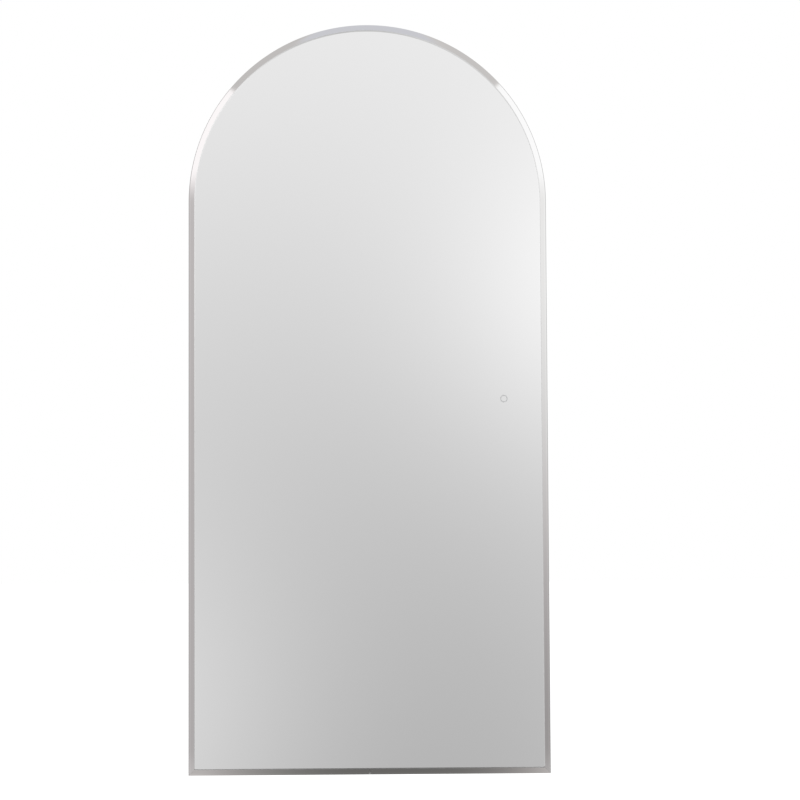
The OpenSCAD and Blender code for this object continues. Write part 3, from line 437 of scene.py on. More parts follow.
class Finish:
    """A node tree: one method makes every node but the Math ones."""

    def __init__(self, tree):
        self.tree = tree
        self.tree.nodes.clear()
        self.seen = None

    def node(self, kind, settings=None, inputs=None, output=0):
        made = self.tree.nodes.new(kind)
        for key, value in (settings or {}).items():
            setattr(made, key, value)
        for key, value in (inputs or {}).items():
            if isinstance(value, Value):
                self.tree.links.new(value.socket, made.inputs[key])
            elif isinstance(value, (tuple, list)) and len(value) == 3 and made.inputs[key].type == "RGBA":
                made.inputs[key].default_value = (*value, 1)
            else:
                made.inputs[key].default_value = value
        return Value(self, made.outputs[output]) if made.outputs else None

    def place(self):
        if not self.seen:
            self.seen = self.node("ShaderNodeTexCoord", output="Object")
        return self.seen

    def axes(self):
        x = self.node("ShaderNodeSeparateXYZ", {}, {0: self.place()})
        return x, Value(self, x.socket.node.outputs[1]), Value(self, x.socket.node.outputs[2])

    def noise(self, scale, detail=2.0, stretch=(1, 1, 1)):
        """Noise with this many waves to the metre, from 0 to 1."""
        where = self.node("ShaderNodeMapping", {}, {"Vector": self.place(), "Scale": stretch})
        return self.node("ShaderNodeTexNoise", {}, {"Vector": where, "Scale": scale, "Detail": detail})

    def cells(self, scale, stretch=(1, 1, 1)):
        """A random colour for each grain."""
        where = self.node("ShaderNodeMapping", {}, {"Vector": self.place(), "Scale": stretch})
        return self.node("ShaderNodeTexVoronoi", {}, {"Vector": where, "Scale": scale}, "Color")

    def grey(self, colour):
        return self.node("ShaderNodeRGBToBW", {}, {0: colour})

    def mix(self, share, first, second):
        return self.node("ShaderNodeMix", {"data_type": "RGBA"}, {0: share, 6: first, 7: second}, 2)

    def bump(self, height, distance):
        return self.node("ShaderNodeBump", {}, {"Height": height, "Distance": distance})

    def zigzag(self, value, length):
        """Rises from 0 to 0.5 and falls again, once in each length."""
        return self.node("ShaderNodeMath", {"operation": "PINGPONG"}, {0: value / length, 1: 0.5})

    def inset(self):
        """Distance in from the frame's outer face."""
        x, _, z = self.axes()
        up = (z - ARCH_Z).most(0.0)
        side = HALF_W - (x * x + up * up) ** 0.5
        return side.least(z - BASE_Z)


def surface(slot, recipe, *values, **fixed):
    """A slot's material: the recipe gives what varies, and the other sockets are set directly."""
    material = bpy.data.materials.new(slot + "_finish")
    material.use_nodes = True
    finish = Finish(material.node_tree)
    sockets = {key.replace("_", " ").title().replace("Ior", "IOR"): value for key, value in fixed.items()}
    sockets.update(recipe(finish, *values))
    shader = finish.node("ShaderNodeBsdfPrincipled", {}, sockets)
    finish.node("ShaderNodeOutputMaterial", {}, {"Surface": shader})


def shade(colour, share):
    return tuple(c * share for c in colour[:3])


# Finishes


def polished_alloy(f, colour):
    """Buffed alloy, with painted highlights at the legs' feet and on the inner wall, and painted shade on the
    bottom bar's inner wall.
    """
    x, _, z = f.axes()
    cloud = f.noise(38, 3)
    marks = f.noise(900, 2, (1, 1, 0.06))
    wall = f.inset().step((FACE_W - 0.25) * MM, (FACE_W - 0.05) * MM)
    bar_top = BASE_Z + FACE_W * MM
    # Painted shade: the bottom bar's inner wall is made dark, dull and less metallic, for the dark that the
    # polished wall mirrors there
    painted_dark_wall = wall * (1 - z.step(bar_top + 0.5 * MM, bar_top + 3 * MM))
    square = x * x
    left = 1 - x.step(-50 * MM, 50 * MM)
    # The painted shade thins out towards both ends of the bar
    thin = 0.13 + square * (4.0 * left + 38 * (1 - left) * square)
    # Painted highlight: the legs' faces get a lighter colour near their feet, by the mitres
    leg = (abs(x) + z).step(HALF_W + BASE_Z - MM, HALF_W + BASE_Z + MM)
    foot = leg * (1 - z.step(BASE_Z + 8 * MM, BASE_Z + 46 * MM))
    buffed = f.mix(cloud, shade(colour, 0.985), colour)
    # Painted highlight: the inner wall is coloured nearly white, lighter than the rest of the alloy
    bright = f.mix(wall, f.mix(foot, buffed, shade(colour, 1.14)), (0.96, 0.96, 0.96))
    return {
        "Base Color": f.mix(painted_dark_wall, bright, f.mix(thin, (0, 0, 0), (1, 0.99, 0.98))),
        "Metallic": 1 - 0.9 * painted_dark_wall,
        "Roughness": 0.045 + 0.03 * cloud + 0.02 * marks + 0.08 * wall + 0.4 * painted_dark_wall,
        "Normal": f.bump(marks, 0.0000015),
    }


def silvered_glass(f, settings):
    """Silver behind float glass, a painted highlight along the lip, ground edges and a painted back."""
    x, y, z = f.axes()
    inset = f.inset()
    # Painted highlight: the silver is lighter in a line along the lip, for the polished lip's reflection
    lip = 1 - inset.step(FACE_W * MM + settings.painted_line_width * 0.45, FACE_W * MM + settings.painted_line_width)
    front = 1 - y.step(GLASS_LOW.y + 0.1 * MM, GLASS_LOW.y + 0.2 * MM)
    back = y.step(GLASS_HIGH.y - 0.3 * MM, GLASS_HIGH.y - 0.2 * MM)
    wave = f.noise(2.2, 1)
    silver = f.mix(lip * 0.45, tuple(settings.silver), (0.985, 0.985, 0.985))
    ground = f.mix(f.noise(1400, 2), (0.36, 0.5, 0.44), (0.45, 0.6, 0.53))
    body = f.mix(back, ground, (0.16, 0.24, 0.23))
    return {
        "Base Color": f.mix(front, body, silver),
        "Metallic": front * 1.0,
        "Roughness": 0.35 - 0.335 * front,
        "Normal": f.bump(wave, 0.000012),
    }


def frosted_silver(f, colour):
    """Etched silver: fine grain that spreads its mirror image."""
    grain = f.noise(5200, 2)
    return {
        "Base Color": f.mix(grain, shade(colour, 0.97), shade(colour, 1.03)),
        "Roughness": 0.3 + 0.08 * grain,
        "Normal": f.bump(grain, 0.000002),
    }


def spangled_zinc(f, colour, grain=85):
    """Hot-dip zinc: crystals of a few millimetres that differ in tone and gloss."""
    crystal = f.grey(f.cells(grain))
    fine = f.noise(900, 3)
    tone = 0.65 * crystal + 0.35 * fine
    return {
        "Base Color": f.mix(tone, shade(colour, 0.8), shade(colour, 1.12)),
        "Roughness": 0.34 + 0.2 * crystal + 0.06 * fine,
        "Normal": f.bump(tone, 0.00002),
    }


def drawn_metal(f, colour, rough=0.3, stretch=(0.03, 1, 1), marks=0.000008):
    """Drawn or rolled metal: long fine lines and a little dullness in patches."""
    lines = f.noise(1500, 3, stretch)
    dull = f.noise(30, 3)
    return {
        "Base Color": f.mix(lines, shade(colour, 0.9), shade(colour, 1.06)),
        "Roughness": rough - 0.06 + 0.1 * lines + 0.06 * dull,
        "Normal": f.bump(lines, marks),
    }


def plated_steel(f, colour):
    """Bright zinc plate on small fasteners, with a faint bloom and marks of the driver."""
    bloom = f.noise(420, 3)
    nicks = f.noise(2600, 2).step(0.62, 0.72)
    return {
        "Base Color": f.mix(bloom, shade(colour, 0.86), shade(colour, 1.05)),
        "Roughness": 0.2 + 0.14 * bloom + 0.12 * nicks,
        "Normal": f.bump(bloom - 0.4 * nicks, 0.00002),
    }


def powder_coat(f, colour):
    """Powder coat: low orange peel, fine speckle, and scuffs that are only a little duller."""
    peel = f.noise(420, 2)
    speck = f.noise(3800, 1)
    scuff = f.noise(14, 5, (1, 1, 0.35)).step(0.62, 0.8)
    return {
        "Base Color": f.mix(0.6 * speck + 0.4 * scuff, shade(colour, 1.03), shade(colour, 0.9)),
        "Roughness": 0.42 + 0.08 * peel + 0.12 * scuff,
        "Normal": f.bump(peel + 0.12 * speck, 0.00005),
    }


def moulded_rubber(f, colour):
    """Moulded rubber: matt, with a greyish bloom on its skin."""
    bloom = f.noise(160, 4)
    skin = f.noise(2400, 2)
    return {
        "Base Color": f.mix(bloom * 0.6 + skin * 0.25, shade(colour, 0.8), shade(colour, 2.1)),
        "Roughness": 0.58 + 0.22 * bloom,
        "Normal": f.bump(skin, 0.00003),
    }


def moulded_plastic(f, colour, rough=0.4, spread=0.05):
    """Moulded plastic: fine spark texture and slow flow marks."""
    spark = f.noise(3000, 2)
    flow = f.noise(35, 3)
    return {
        "Base Color": f.mix(0.5 * spark + 0.5 * flow, shade(colour, 1 - spread), shade(colour, 1 + spread)),
        "Roughness": rough - 0.05 + 0.1 * flow + 0.05 * spark,
        "Normal": f.bump(spark, 0.000012),
    }


def closed_foam(f, colour):
    """Closed-cell foam: small cells cut open along its edges."""
    cells = f.grey(f.cells(1500))
    return {
        "Base Color": f.mix(cells, shade(colour, 0.82), shade(colour, 1.06)),
        "Roughness": 0.8 + 0.15 * cells,
        "Normal": f.bump(cells, 0.00012),
    }


def lacquered_board(f, colour, copper):
    """Circuit board: lacquer over copper tracks that show as a paler shade."""
    where = f.node("ShaderNodeMapping", {}, {"Vector": f.place(), "Rotation": (math.pi / 2, 0, 0)})
    tracks = f.node("ShaderNodeTexBrick", {"offset": 0.37}, {
        "Vector": where, "Scale": 95.0, "Mortar Size": 0.06,
        "Color1": (0, 0, 0), "Color2": (0.35, 0.35, 0.35), "Mortar": (1, 1, 1)})
    run = f.grey(tracks)
    fibre = f.noise(2500, 2)
    return {
        "Base Color": f.mix(run * 0.7, f.mix(fibre, shade(colour, 0.85), shade(colour, 1.15)), copper),
        "Roughness": 0.24 + 0.14 * fibre,
        "Normal": f.bump(run, 0.00003),
    }


def strip_board(f, colour):
    """White light strip: solder pads and a cut mark every third light."""
    x, _, z = f.axes()
    pad = f.zigzag(x + z, 33 * MM).step(0.42, 0.45)
    skin = f.noise(900, 2)
    white = f.mix(skin, shade(colour, 0.95), colour)
    return {"Base Color": f.mix(pad * 0.5, white, (0.75, 0.62, 0.4)), "Roughness": 0.36 + 0.1 * skin}


def phosphor(f, colour):
    """Yellow gel over a light chip, with a cloudy tone."""
    cloud = f.noise(1800, 3)
    return {
        "Base Color": f.mix(cloud, shade(colour, 0.88), shade(colour, 1.06)),
        "Roughness": 0.24 + 0.12 * cloud,
        "Normal": f.bump(cloud, 0.00003),
    }


def cable_sheath(f, colour, second=None):
    """Extruded sheath with faint lines along it; an earth lead has a second colour behind its axis."""
    _, y, _ = f.axes()
    axis = -24.5 * MM
    lines = f.noise(1200, 2)
    base = f.mix(lines, shade(colour, 0.92), shade(colour, 1.05))
    if second:
        base = f.mix(y.step(axis - 0.2 * MM, axis + 0.2 * MM), base, second)
    return {"Base Color": base, "Roughness": 0.42 + 0.12 * lines, "Normal": f.bump(lines, 0.00002)}


def clear_foil(f, colour):
    """White safety foil with the fine diamond net that holds splinters."""
    x, _, z = f.axes()
    net = 1 - f.zigzag(x + z, 4 * MM).least(f.zigzag(x - z, 4 * MM)).step(0.03, 0.07)
    return {
        "Base Color": f.mix(net, colour, shade(colour, 0.82)),
        "Roughness": 0.3 + 0.15 * net,
        "Normal": f.bump(net, 0.00004),
    }


def turned_brass(f, colour):
    """Turned brass with a thin tarnish."""
    lines = f.noise(2200, 2, (1, 0.1, 1))
    tarnish = f.noise(300, 4)
    return {
        "Base Color": f.mix(tarnish, shade(colour, 0.72), shade(colour, 1.05)),
        "Roughness": 0.24 + 0.16 * tarnish + 0.06 * lines,
        "Normal": f.bump(lines, 0.00001),
    }


def make_finishes(scene):
    """One material for each of the record's slots."""
    glass = scene.mirror_glass
    surface("frame_alloy", polished_alloy, tuple(scene.mirror_trim.alloy))
    surface("key_alloy", drawn_metal, (0.62, 0.63, 0.65), 0.4, metallic=1.0)
    surface("grub_steel", plated_steel, (0.1, 0.1, 0.105), metallic=0.85)
    surface("glazing_foam", closed_foam, (0.07, 0.07, 0.072))
    surface("silvered_glass", silvered_glass, glass)
    surface("ring_frost", frosted_silver, tuple(glass.ring), metallic=1.0)
    surface("safety_foil", clear_foil, (0.78, 0.8, 0.82))
    surface("white_foam", closed_foam, (0.78, 0.78, 0.76))
    surface("zinc_sheet", spangled_zinc, (0.6, 0.62, 0.64), metallic=1.0)
    surface("zinc_fasteners", plated_steel, (0.66, 0.67, 0.68), metallic=1.0)
    surface("channel_alloy", drawn_metal, (0.72, 0.73, 0.74), 0.36, (1, 1, 0.03), metallic=1.0)
    surface("strip_white", strip_board, (0.86, 0.87, 0.86))
    surface("led_phosphor", phosphor, (0.86, 0.7, 0.2), coat_weight=0.6, coat_roughness=0.1)
    surface("opal_plastic", moulded_plastic, (0.86, 0.865, 0.86), 0.34, 0.025,
            subsurface_weight=0.25, subsurface_scale=0.004, specular_ior_level=0.45)
    surface("cover_paint", powder_coat, tuple(scene.mirror_housing.paint))
    surface("black_rubber", moulded_rubber, tuple(scene.mirror_hanging.rubber), specular_ior_level=0.35)
    surface("block_plastic", moulded_plastic, (0.8, 0.79, 0.74), 0.38)
    surface("terminal_brass", turned_brass, (0.78, 0.58, 0.24), metallic=1.0)
    surface("case_plastic", moulded_plastic, (0.74, 0.75, 0.76), 0.46)
    surface("board_green", lacquered_board, (0.03, 0.19, 0.08), (0.16, 0.36, 0.14),
            coat_weight=0.35, coat_roughness=0.2)
    surface("component_black", moulded_plastic, (0.045, 0.045, 0.05), 0.4, 0.25)
    surface("white_lead", cable_sheath, (0.76, 0.76, 0.75))
    surface("earth_sleeve", cable_sheath, (0.08, 0.32, 0.06), (0.78, 0.62, 0.05))
    surface("rail_steel", drawn_metal, (0.64, 0.66, 0.68), 0.34, (0.02, 1, 1), 0.000012, metallic=1.0)


NODES_OF = {
    "frame_alloy": "frame_profile",
    "key_alloy": "corner_keys seam_key",
    "grub_steel": "key_grub_screws",
    "glazing_foam": "glazing_tape",
    "silvered_glass": "mirror_glass",
    "ring_frost": "touch_ring",
    "safety_foil": "safety_film",
    "white_foam": "mounting_tape",
    "zinc_sheet": "back_plate housing_wall retaining_plates",
    "zinc_fasteners": "retaining_screws housing_rivets channel_rivets back_cover_screws driver_screws "
                      "terminal_block_screws earth_stud hanger_screws bumper_screws cover_posts",
    "channel_alloy": "led_channel",
    "strip_white": "led_strip",
    "led_phosphor": "led_chips",
    "opal_plastic": "diffuser",
    "cover_paint": "back_cover",
    "black_rubber": "mains_grommet lead_bush wall_bumpers sensor_pad",
    "block_plastic": "terminal_block lead_clips",
    "terminal_brass": "terminal_screws earth_nuts earth_lug",
    "case_plastic": "driver_case driver_lid sensor_case sensor_lid",
    "board_green": "driver_board sensor_board",
    "component_black": "driver_components",
    "white_lead": "sensor_lead led_lead mains_lead",
    "earth_sleeve": "earth_lead",
    "rail_steel": "hanger_rail wall_rail",
}


def dress_nodes():
    """Gives every CAD node its slot's material."""
    slot_of = {node: slot for slot, nodes in NODES_OF.items() for node in nodes.split()}
    for node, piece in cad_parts.items():
        material = bpy.data.materials[slot_of[node] + "_finish"]
        if not piece.material_slots:
            piece.data.materials.append(material)
        for place in piece.material_slots:
            place.material = material


# Pieces


def arc(centre_u, centre_y, radius, first, last, steps):
    """Points of a section on an arc between two turns."""
    turns = [first + (last - first) * k / steps for k in range(steps + 1)]
    return [(centre_u + radius * math.cos(turn), centre_y - radius * math.sin(turn)) for turn in turns]


def slot_rib(root, side):
    """A rib inside the frame whose nib points to this side. Two of them make the slot for the keys."""
    wall, nib, reach, rib_t, nib_t = 1.6, 3.8, 4.8, 1.2, 2.2
    return [(wall, root), (reach, root), (reach, root + side * nib_t), (nib, root + side * nib_t),
            (nib, root + side * rib_t), (wall, root + side * rib_t)]


def frame_section(trim):
    """The frame's section as (inset, depth) in mm, from the lip over the face to the slot ribs."""
    front, back = LOW.y / MM, HIGH.y / MM
    face, steep = trim.face_tilt, trim.shoulder_tilt
    shoulder, edge_r, lip_r = trim.shoulder / MM, trim.edge_radius / MM, 0.12
    wall, burr, skirt, skirt_t = 1.6, 0.2, 0.75, 1
    front_rib, rear_rib = -27, -16.6
    crest = FACE_W - 0.14  # inset at which the line of the face meets the front plane
    near, far = 0.15, 0.35  # from a bend to the lines that hold its shading

    def face_y(u):
        return front + (crest - u) * math.tan(face)

    def steep_y(u):
        return face_y(shoulder) + (shoulder - u) * math.tan(steep)

    lip_back, lip_u = front + LIP_H, FACE_W - lip_r
    lip_y = face_y(lip_u - lip_r * math.sin(face)) + lip_r * math.cos(face)
    edge_u = edge_r * (1 - math.sin(steep))
    edge_y = steep_y(edge_u) + edge_r * math.cos(steep)
    skirt_u, skirt_y = FACE_W - skirt_t, lip_back + skirt
    points = [(skirt_u - 0.1, lip_back), (skirt_u, skirt_y), (FACE_W, skirt_y)]
    points += arc(lip_u, lip_y, lip_r, 0, math.pi / 2 + face, 8)
    face_u = points[-1][0]
    points += [(u, face_y(u)) for u in (face_u - near, shoulder + far, shoulder + near)]
    points += [(u, steep_y(u)) for u in (shoulder - near, shoulder - far, edge_u + 0.12)]
    points += arc(edge_r, edge_y, edge_r, math.pi / 2 + steep, math.pi, 14)
    points += [(0, edge_y + near), (0, back - burr), (burr, back), (wall - burr, back), (wall, back - burr)]
    return points + slot_rib(rear_rib, -1) + slot_rib(front_rib, 1)[::-1] + [(wall, lip_back)]


class MirrorLampFrame(bpy.types.Operator):
    """Model the frame: arch and legs in one bend, two bottom bars, mitres and a butt seam"""

    bl_idname = "mirror_lamp.frame"
    bl_label = "Frame"

    def execute(self, context):
        trim = context.scene.mirror_trim
        section = frame_section(trim)
        piece = sweep_round_rim("frame_trim", section, trim.arch_steps, hairline=trim.hairline)
        bar = draw("bottom_bar", [(HALF_W, y * MM, BASE_Z + u * MM) for u, y in section])
        bpy.ops.mesh.edge_face_add()
        extrude(x=trim.seam / 2 - HALF_W)
        bpy.ops.mesh.select_all(action="SELECT")
        bpy.ops.mesh.bisect(
            plane_co=(HALF_W, 0, BASE_Z - trim.hairline / 2 * math.sqrt(2)), plane_no=(1, 0, 1),
            clear_outer=True, use_fill=True, threshold=TINY)
        apply_modifier(bar, "MIRROR", use_mirror_merge=False)
        choose(piece, bar)
        bpy.ops.object.join()
        close_up(piece)
        finish_piece(piece, "frame_alloy", "frame_profile")
        return {"FINISHED"}


def rim_place(node):
    """A rim node's inset from the frame's outer face, and its front and back, in mm."""
    low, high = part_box(node)
    return (HALF_W - high.x) / MM, low.y / MM, high.y / MM


class MirrorLampChannel(bpy.types.Operator):
    """Model the light channel and the crowned opal profile that closes it"""

    bl_idname = "mirror_lamp.channel"
    bl_label = "Light channel"

    def execute(self, context):
        steps = context.scene.mirror_trim.arch_steps
        gap, width = 0.6 * MM, 16
        outer, floor, mouth = rim_place("led_channel")
        inner = outer + width
        channel = sweep_round_rim("light_channel", rounded([
            (outer, floor, 0.5), (inner, floor, 0.5), (inner, mouth, 0.35), (inner - SHEET, mouth, 0.35),
            (inner - SHEET, floor + SHEET, 0.4), (outer + SHEET, floor + SHEET, 0.4),
            (outer + SHEET, mouth, 0.35), (outer, mouth, 0.35)], 3), steps, gap=gap)
        close_up(channel)
        finish_piece(channel, "channel_alloy", "led_channel")

        crown = context.scene.mirror_housing.opal_crown / MM
        outer, front, _ = rim_place("diffuser")
        half_w, edge = 6.75, front + 1.2
        dome = [(outer + half_w + half_w * math.cos(turn), edge + crown * math.sin(turn))
                for turn in [math.pi * k / 14 for k in range(15)]]
        section = [(outer, front), (outer + 2 * half_w, front), *dome]
        opal = sweep_round_rim("opal_profile", section, steps, gap=gap)
        close_up(opal)
        finish_piece(opal, "opal_plastic", "diffuser")
        return {"FINISHED"}


# Pressed ribs of the cover, and the width and rise in mm of each step of their slope
RIBS_X = (-130 * MM, 0.0, 130 * MM)
RIB_Z, RIB_HALF, RIB_R = -590 * MM, 272 * MM, 8 * MM
RIB_POINTS = 40
RIB_SLOPE = ((0.5, 0.06), (0.6, 0.2), (0.6, 0.34), (0.6, 0.34), (0.6, 0.2), (0.5, 0.06))


def cover_outline(y):
    """The cover's edge: straight sides and a half-round top."""
    radius, foot = COVER_HIGH.x, COVER_LOW.z
    turns = [math.pi * k / 180 for k in range(1, 181)]
    arch = [(radius * math.cos(turn), y, ARCH_Z + radius * math.sin(turn)) for turn in turns]
    return [(radius, y, foot), (radius, y, ARCH_Z), *arch, (-radius, y, foot)]


def rib_outline(x, y):
    """The foot of a rib: an upright slot with round ends."""
    points = []
    for k in range(RIB_POINTS):
        turn = 2 * math.pi * (k + 0.5) / RIB_POINTS
        end = math.copysign(RIB_HALF, math.sin(turn))
        points.append((x + RIB_R * math.cos(turn), y, RIB_Z + end + RIB_R * math.sin(turn)))
    return points


class MirrorLampHousing(bpy.types.Operator):
    """Model the housing wall and the cover with its pressed ribs"""

    bl_idname = "mirror_lamp.housing"
    bl_label = "Housing"

    def execute(self, context):
        settings = context.scene.mirror_housing
        self.make_wall(settings.bend_radius / MM, context.scene.mirror_trim.arch_steps)
        self.make_cover(settings.cover_bevel)
        return {"FINISHED"}

    def make_wall(self, bend, steps):
        outer, front, back = rim_place("housing_wall")
        flange = 13.2
        inner, tip, tight = outer + SHEET, outer + flange, bend - SHEET
        section = rounded([
            (outer, front, bend), (tip, front, 0.3), (tip, front + SHEET, 0.3), (inner, front + SHEET, tight),
            (inner, back - SHEET, tight), (tip, back - SHEET, 0.3), (tip, back, 0.3), (outer, back, bend)], 4)
        wall = sweep_round_rim("housing_shell", section, steps)
        close_up(wall)
        finish_piece(wall, "zinc_sheet", "housing_wall")

    def make_cover(self, bevel):
        back, hole_r, hem = COVER_BACK * MM, 7.05 * MM, 0.5 * MM
        loops = [draw("cover_panel", cover_outline(back))]
        loops += [draw("rib", rib_outline(x, back)) for x in RIBS_X]
        clear_selection()
        bpy.ops.mesh.primitive_circle_add(
            vertices=48, radius=hole_r, location=(INLET_X, back, INLET_Z), rotation=(math.pi / 2, 0, 0))
        loops.append(added("hole"))
        choose(*loops)
        bpy.ops.object.join()
        cover = loops[0]
        edit(cover)
        bpy.ops.mesh.select_all(action="SELECT")
        bpy.ops.mesh.fill(use_beauty=True)
        rib_end = RIB_HALF + RIB_R + TINY
        for x in RIBS_X:
            pick(cover, lambda v: abs(v.co.x - x) < RIB_R + TINY and abs(v.co.z - RIB_Z) < rib_end)
            bpy.ops.mesh.edge_face_add()
        mesh = bmesh.from_edit_mesh(cover.data)
        if any(face.normal.y < 0 for face in mesh.faces):
            pick(cover, lambda face: face.normal.y < 0, "FACE")
            bpy.ops.mesh.flip_normals()
        bpy.ops.mesh.select_all(action="SELECT")
        bpy.ops.mesh.inset(thickness=hem, use_boundary=True)
        pick(cover, lambda face: len(face.verts) == RIB_POINTS, "FACE")
        for width, rise in RIB_SLOPE:
            bpy.ops.mesh.inset(thickness=width * MM, depth=rise * MM, use_boundary=True)
        apply_modifier(cover, "SOLIDIFY", thickness=SHEET * MM, offset=-1)
        bevel_edges(cover, lambda e: e.calc_face_angle(0) > SHARP, bevel)
        close_up(cover)
        finish_piece(cover, "cover_paint", "back_cover")


def pan_head_screw(name, recess, radius, head_r, head_t, seat, tip):
    """A pan-head screw along Y at the origin: its head lies on the seat and has a cross recess."""
    top, burr, point = seat + head_t, 0.2, 1.2
    turns = [math.pi / 2 * k / 7 for k in range(8)]
    dome = [(0.96 * head_r * math.sin(turn), top - 0.42 * head_t * (1 - math.cos(turn))) for turn in turns]
    rim = [(head_r, seat + 0.45 * head_t), (head_r, seat + burr), (head_r - burr, seat)]
    shank = [(radius, seat), (radius, tip + point), (0.4 * radius, tip), (0, tip)]
    screw = lathe(name, dome + rim + shank, steps=32)
    deep = head_t * recess
    for turn in (0, math.pi / 2):
        clear_selection()
        bpy.ops.mesh.primitive_cube_add(
            size=1, location=(0, top * MM, 0), rotation=(0, turn, 0),
            scale=(1.15 * head_r * MM, 2 * deep * MM, 0.26 * head_r * MM))
        cutter = added("recess")
        edit(cutter)
        pick(cutter, lambda face: face.normal.y < -0.5, "FACE")
        bpy.ops.transform.resize(value=(0.62, 1, 0.62))
        clear_selection()
        cut_with(screw, cutter)
    return screw


class MirrorLampScrews(bpy.types.Operator):
    """Model each kind of screw once and copy it to its places, and the plates that hold the mirror in"""

    bl_idname = "mirror_lamp.screws"
    bl_label = "Screws and plates"

    def execute(self, context):
        recess = context.scene.mirror_hanging.recess
        small = {"radius": 1.4, "head_r": 2.8, "head_t": 1.8, "seat": COVER_BACK, "tip": -17}
        short = {"radius": 1.45, "head_r": 2.9, "head_t": 1.8, "seat": -27.4, "tip": -29.9}
        large = {"radius": 1.95, "head_r": 3.9, "head_t": 2.4, "tip": -21.2}
        sets = [
            ("cover_screw_set", "back_cover_screws", small, stations(**COVER_EDGE, inset=52.2 * MM)),
            ("holding_screw_set", "retaining_screws", short, stations(**HOLDERS, inset=12.4 * MM)),
            ("hanger_screw_set", "hanger_screws", {**large, "seat": -8}, POSTS),
            ("bumper_screw_set", "bumper_screws", {**large, "seat": -5}, FEET),
        ]
        first, step = math.radians(17), math.radians(67)
        for name, node, sizes, places in sets:
            screw = pan_head_screw(name, recess, **sizes)
            turned = [(x, z, first + step * k) for k, (x, z, *_) in enumerate(places)]
            finish_piece(copy_to(screw, turned), "zinc_fasteners", node)
        self.make_plates()
        return {"FINISHED"}

    def make_plates(self):
        outer, inner, thick, length = -2.2, -18, 1.5, 22
        middle = ((outer + inner) / 2 * MM, (PLATE_BACK + thick / 2) * MM, 0)
        clear_selection()
        bpy.ops.mesh.primitive_cube_add(
            size=1, location=middle, scale=((outer - inner) * MM, thick * MM, length * MM))
        plate = added("holding_plate_set")
        bevel_edges(plate, lambda e: abs((e.verts[0].co - e.verts[1].co).y) > MM, 2.5 * MM, 5)
        bevel_edges(plate, lambda e: e.calc_face_angle(0) > SHARP, 0.25 * MM)
        finish_piece(copy_to(plate, stations(**HOLDERS)), "zinc_sheet", "retaining_plates")


def hook_rail(name, node, sheet, hook):
    """A rail bent from sheet: a flat strip, a step and a hook. Negative sizes turn it upside down."""
    low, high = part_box(node)
    near, far = (high, low) if sheet > 0 else (low, high)
    base, step, foot, tip = near.y / MM, far.y / MM + sheet, far.z / MM, near.z / MM
    turn = tip - hook
    bend, tight, edge = 2.3, 0.4, 0.35
    return extrude_along_x(name, rounded([
        (base, foot, edge), (base, turn, bend), (step, turn, tight), (step, tip, edge),
        (step - sheet, tip, edge), (step - sheet, turn - sheet, bend), (base - sheet, turn - sheet, tight),
        (base - sheet, foot, edge)]), high.x - low.x)


def bevel_ends(rail):
    end = max(v.co.x for v in rail.data.vertices)
    bevel_edges(rail, lambda e: e.calc_face_angle(0) > SHARP and all(
        abs(abs(v.co.x) - end) < TINY for v in e.verts), 0.25 * MM)


class MirrorLampRails(bpy.types.Operator):
    """Model the rail on the wall and the rail on the lamp as bent sheet"""

    bl_idname = "mirror_lamp.rails"
    bl_label = "Hanging rails"

    def execute(self, context):
        burr = context.scene.mirror_hanging.burr / MM
        sheet, hole_r, past = 2, 2.75, 1
        wall = hook_rail("wall_hook_rail", "wall_rail", sheet, 14)
        mouth = hole_r + burr + past
        for x in (-180, -60, 60, 180):
            drill = lathe("drill", [
                (0, -sheet - past), (mouth, -sheet - past), (hole_r, burr - sheet), (hole_r, -burr),
                (mouth, past), (0, past)], (x * MM, 0), steps=40)
            cut_with(wall, drill)
        bevel_ends(wall)
        finish_piece(wall, "rail_steel", "wall_rail", body="wall_rail")
        hanger = hook_rail("hanger_hook_rail", "hanger_rail", -sheet, -12)
        bevel_ends(hanger)
        finish_piece(hanger, "rail_steel", "hanger_rail")
        return {"FINISHED"}


class MirrorLampRubber(bpy.types.Operator):
    """Model the wall bumpers and the grommet of the supply cable"""

    bl_idname = "mirror_lamp.rubber"
    bl_label = "Rubber parts"

    def execute(self, context):
        bumper = lathe("bumper_pads", rounded([
            (2.15, -10, 0), (12, -10, 0.5), (12, 0, 1.6), (9.6, 0, 0.3), (9.2, -0.8, 0.2), (8.2, -0.8, 0.2),
            (7.8, 0, 0.3), (4.5, 0, 0.6), (4.5, -5, 0), (2.15, -5, 0)], 4), closed=True, steps=64)
        pads = copy_to(bumper, [(x, z, 0) for x, z in FEET])
        finish_piece(pads, "black_rubber", "wall_bumpers")
        grommet = lathe("inlet_grommet", rounded([
            (4.5, -13.7, 0.5), (10.5, -13.7, 0.9), (10.5, -11.2, 0.4), (7, -11.2, 0), (7, -10, 0),
            (10.5, -10, 0.4), (10.5, -7.5, 1.3), (4.5, -7.5, 0.9)], 4),
            centre=(INLET_X, INLET_Z), closed=True, steps=64)
        finish_piece(grommet, "black_rubber", "mains_grommet")
        return {"FINISHED"}


class MirrorLampFinishes(bpy.types.Operator):
    """Make the materials and give each CAD part its own"""

    bl_idname = "mirror_lamp.finishes"
    bl_label = "Finishes"

    def execute(self, context):
        make_finishes(context.scene)
        dress_nodes()
        return {"FINISHED"}


# Studio


# Soft pools of light ahead of the mirror: level, x, z, half width and half height in metres
POOLS = (
    (0.236, 1.031, 0.254, 0.692, 0.645),
    (0.333, -1.215, -1.518, 1.094, 0.92),
    (-0.891, -0.284, -2.308, 2.792, 3.004),
    (0.01, 0, -0.25, 4, 0.7),
)


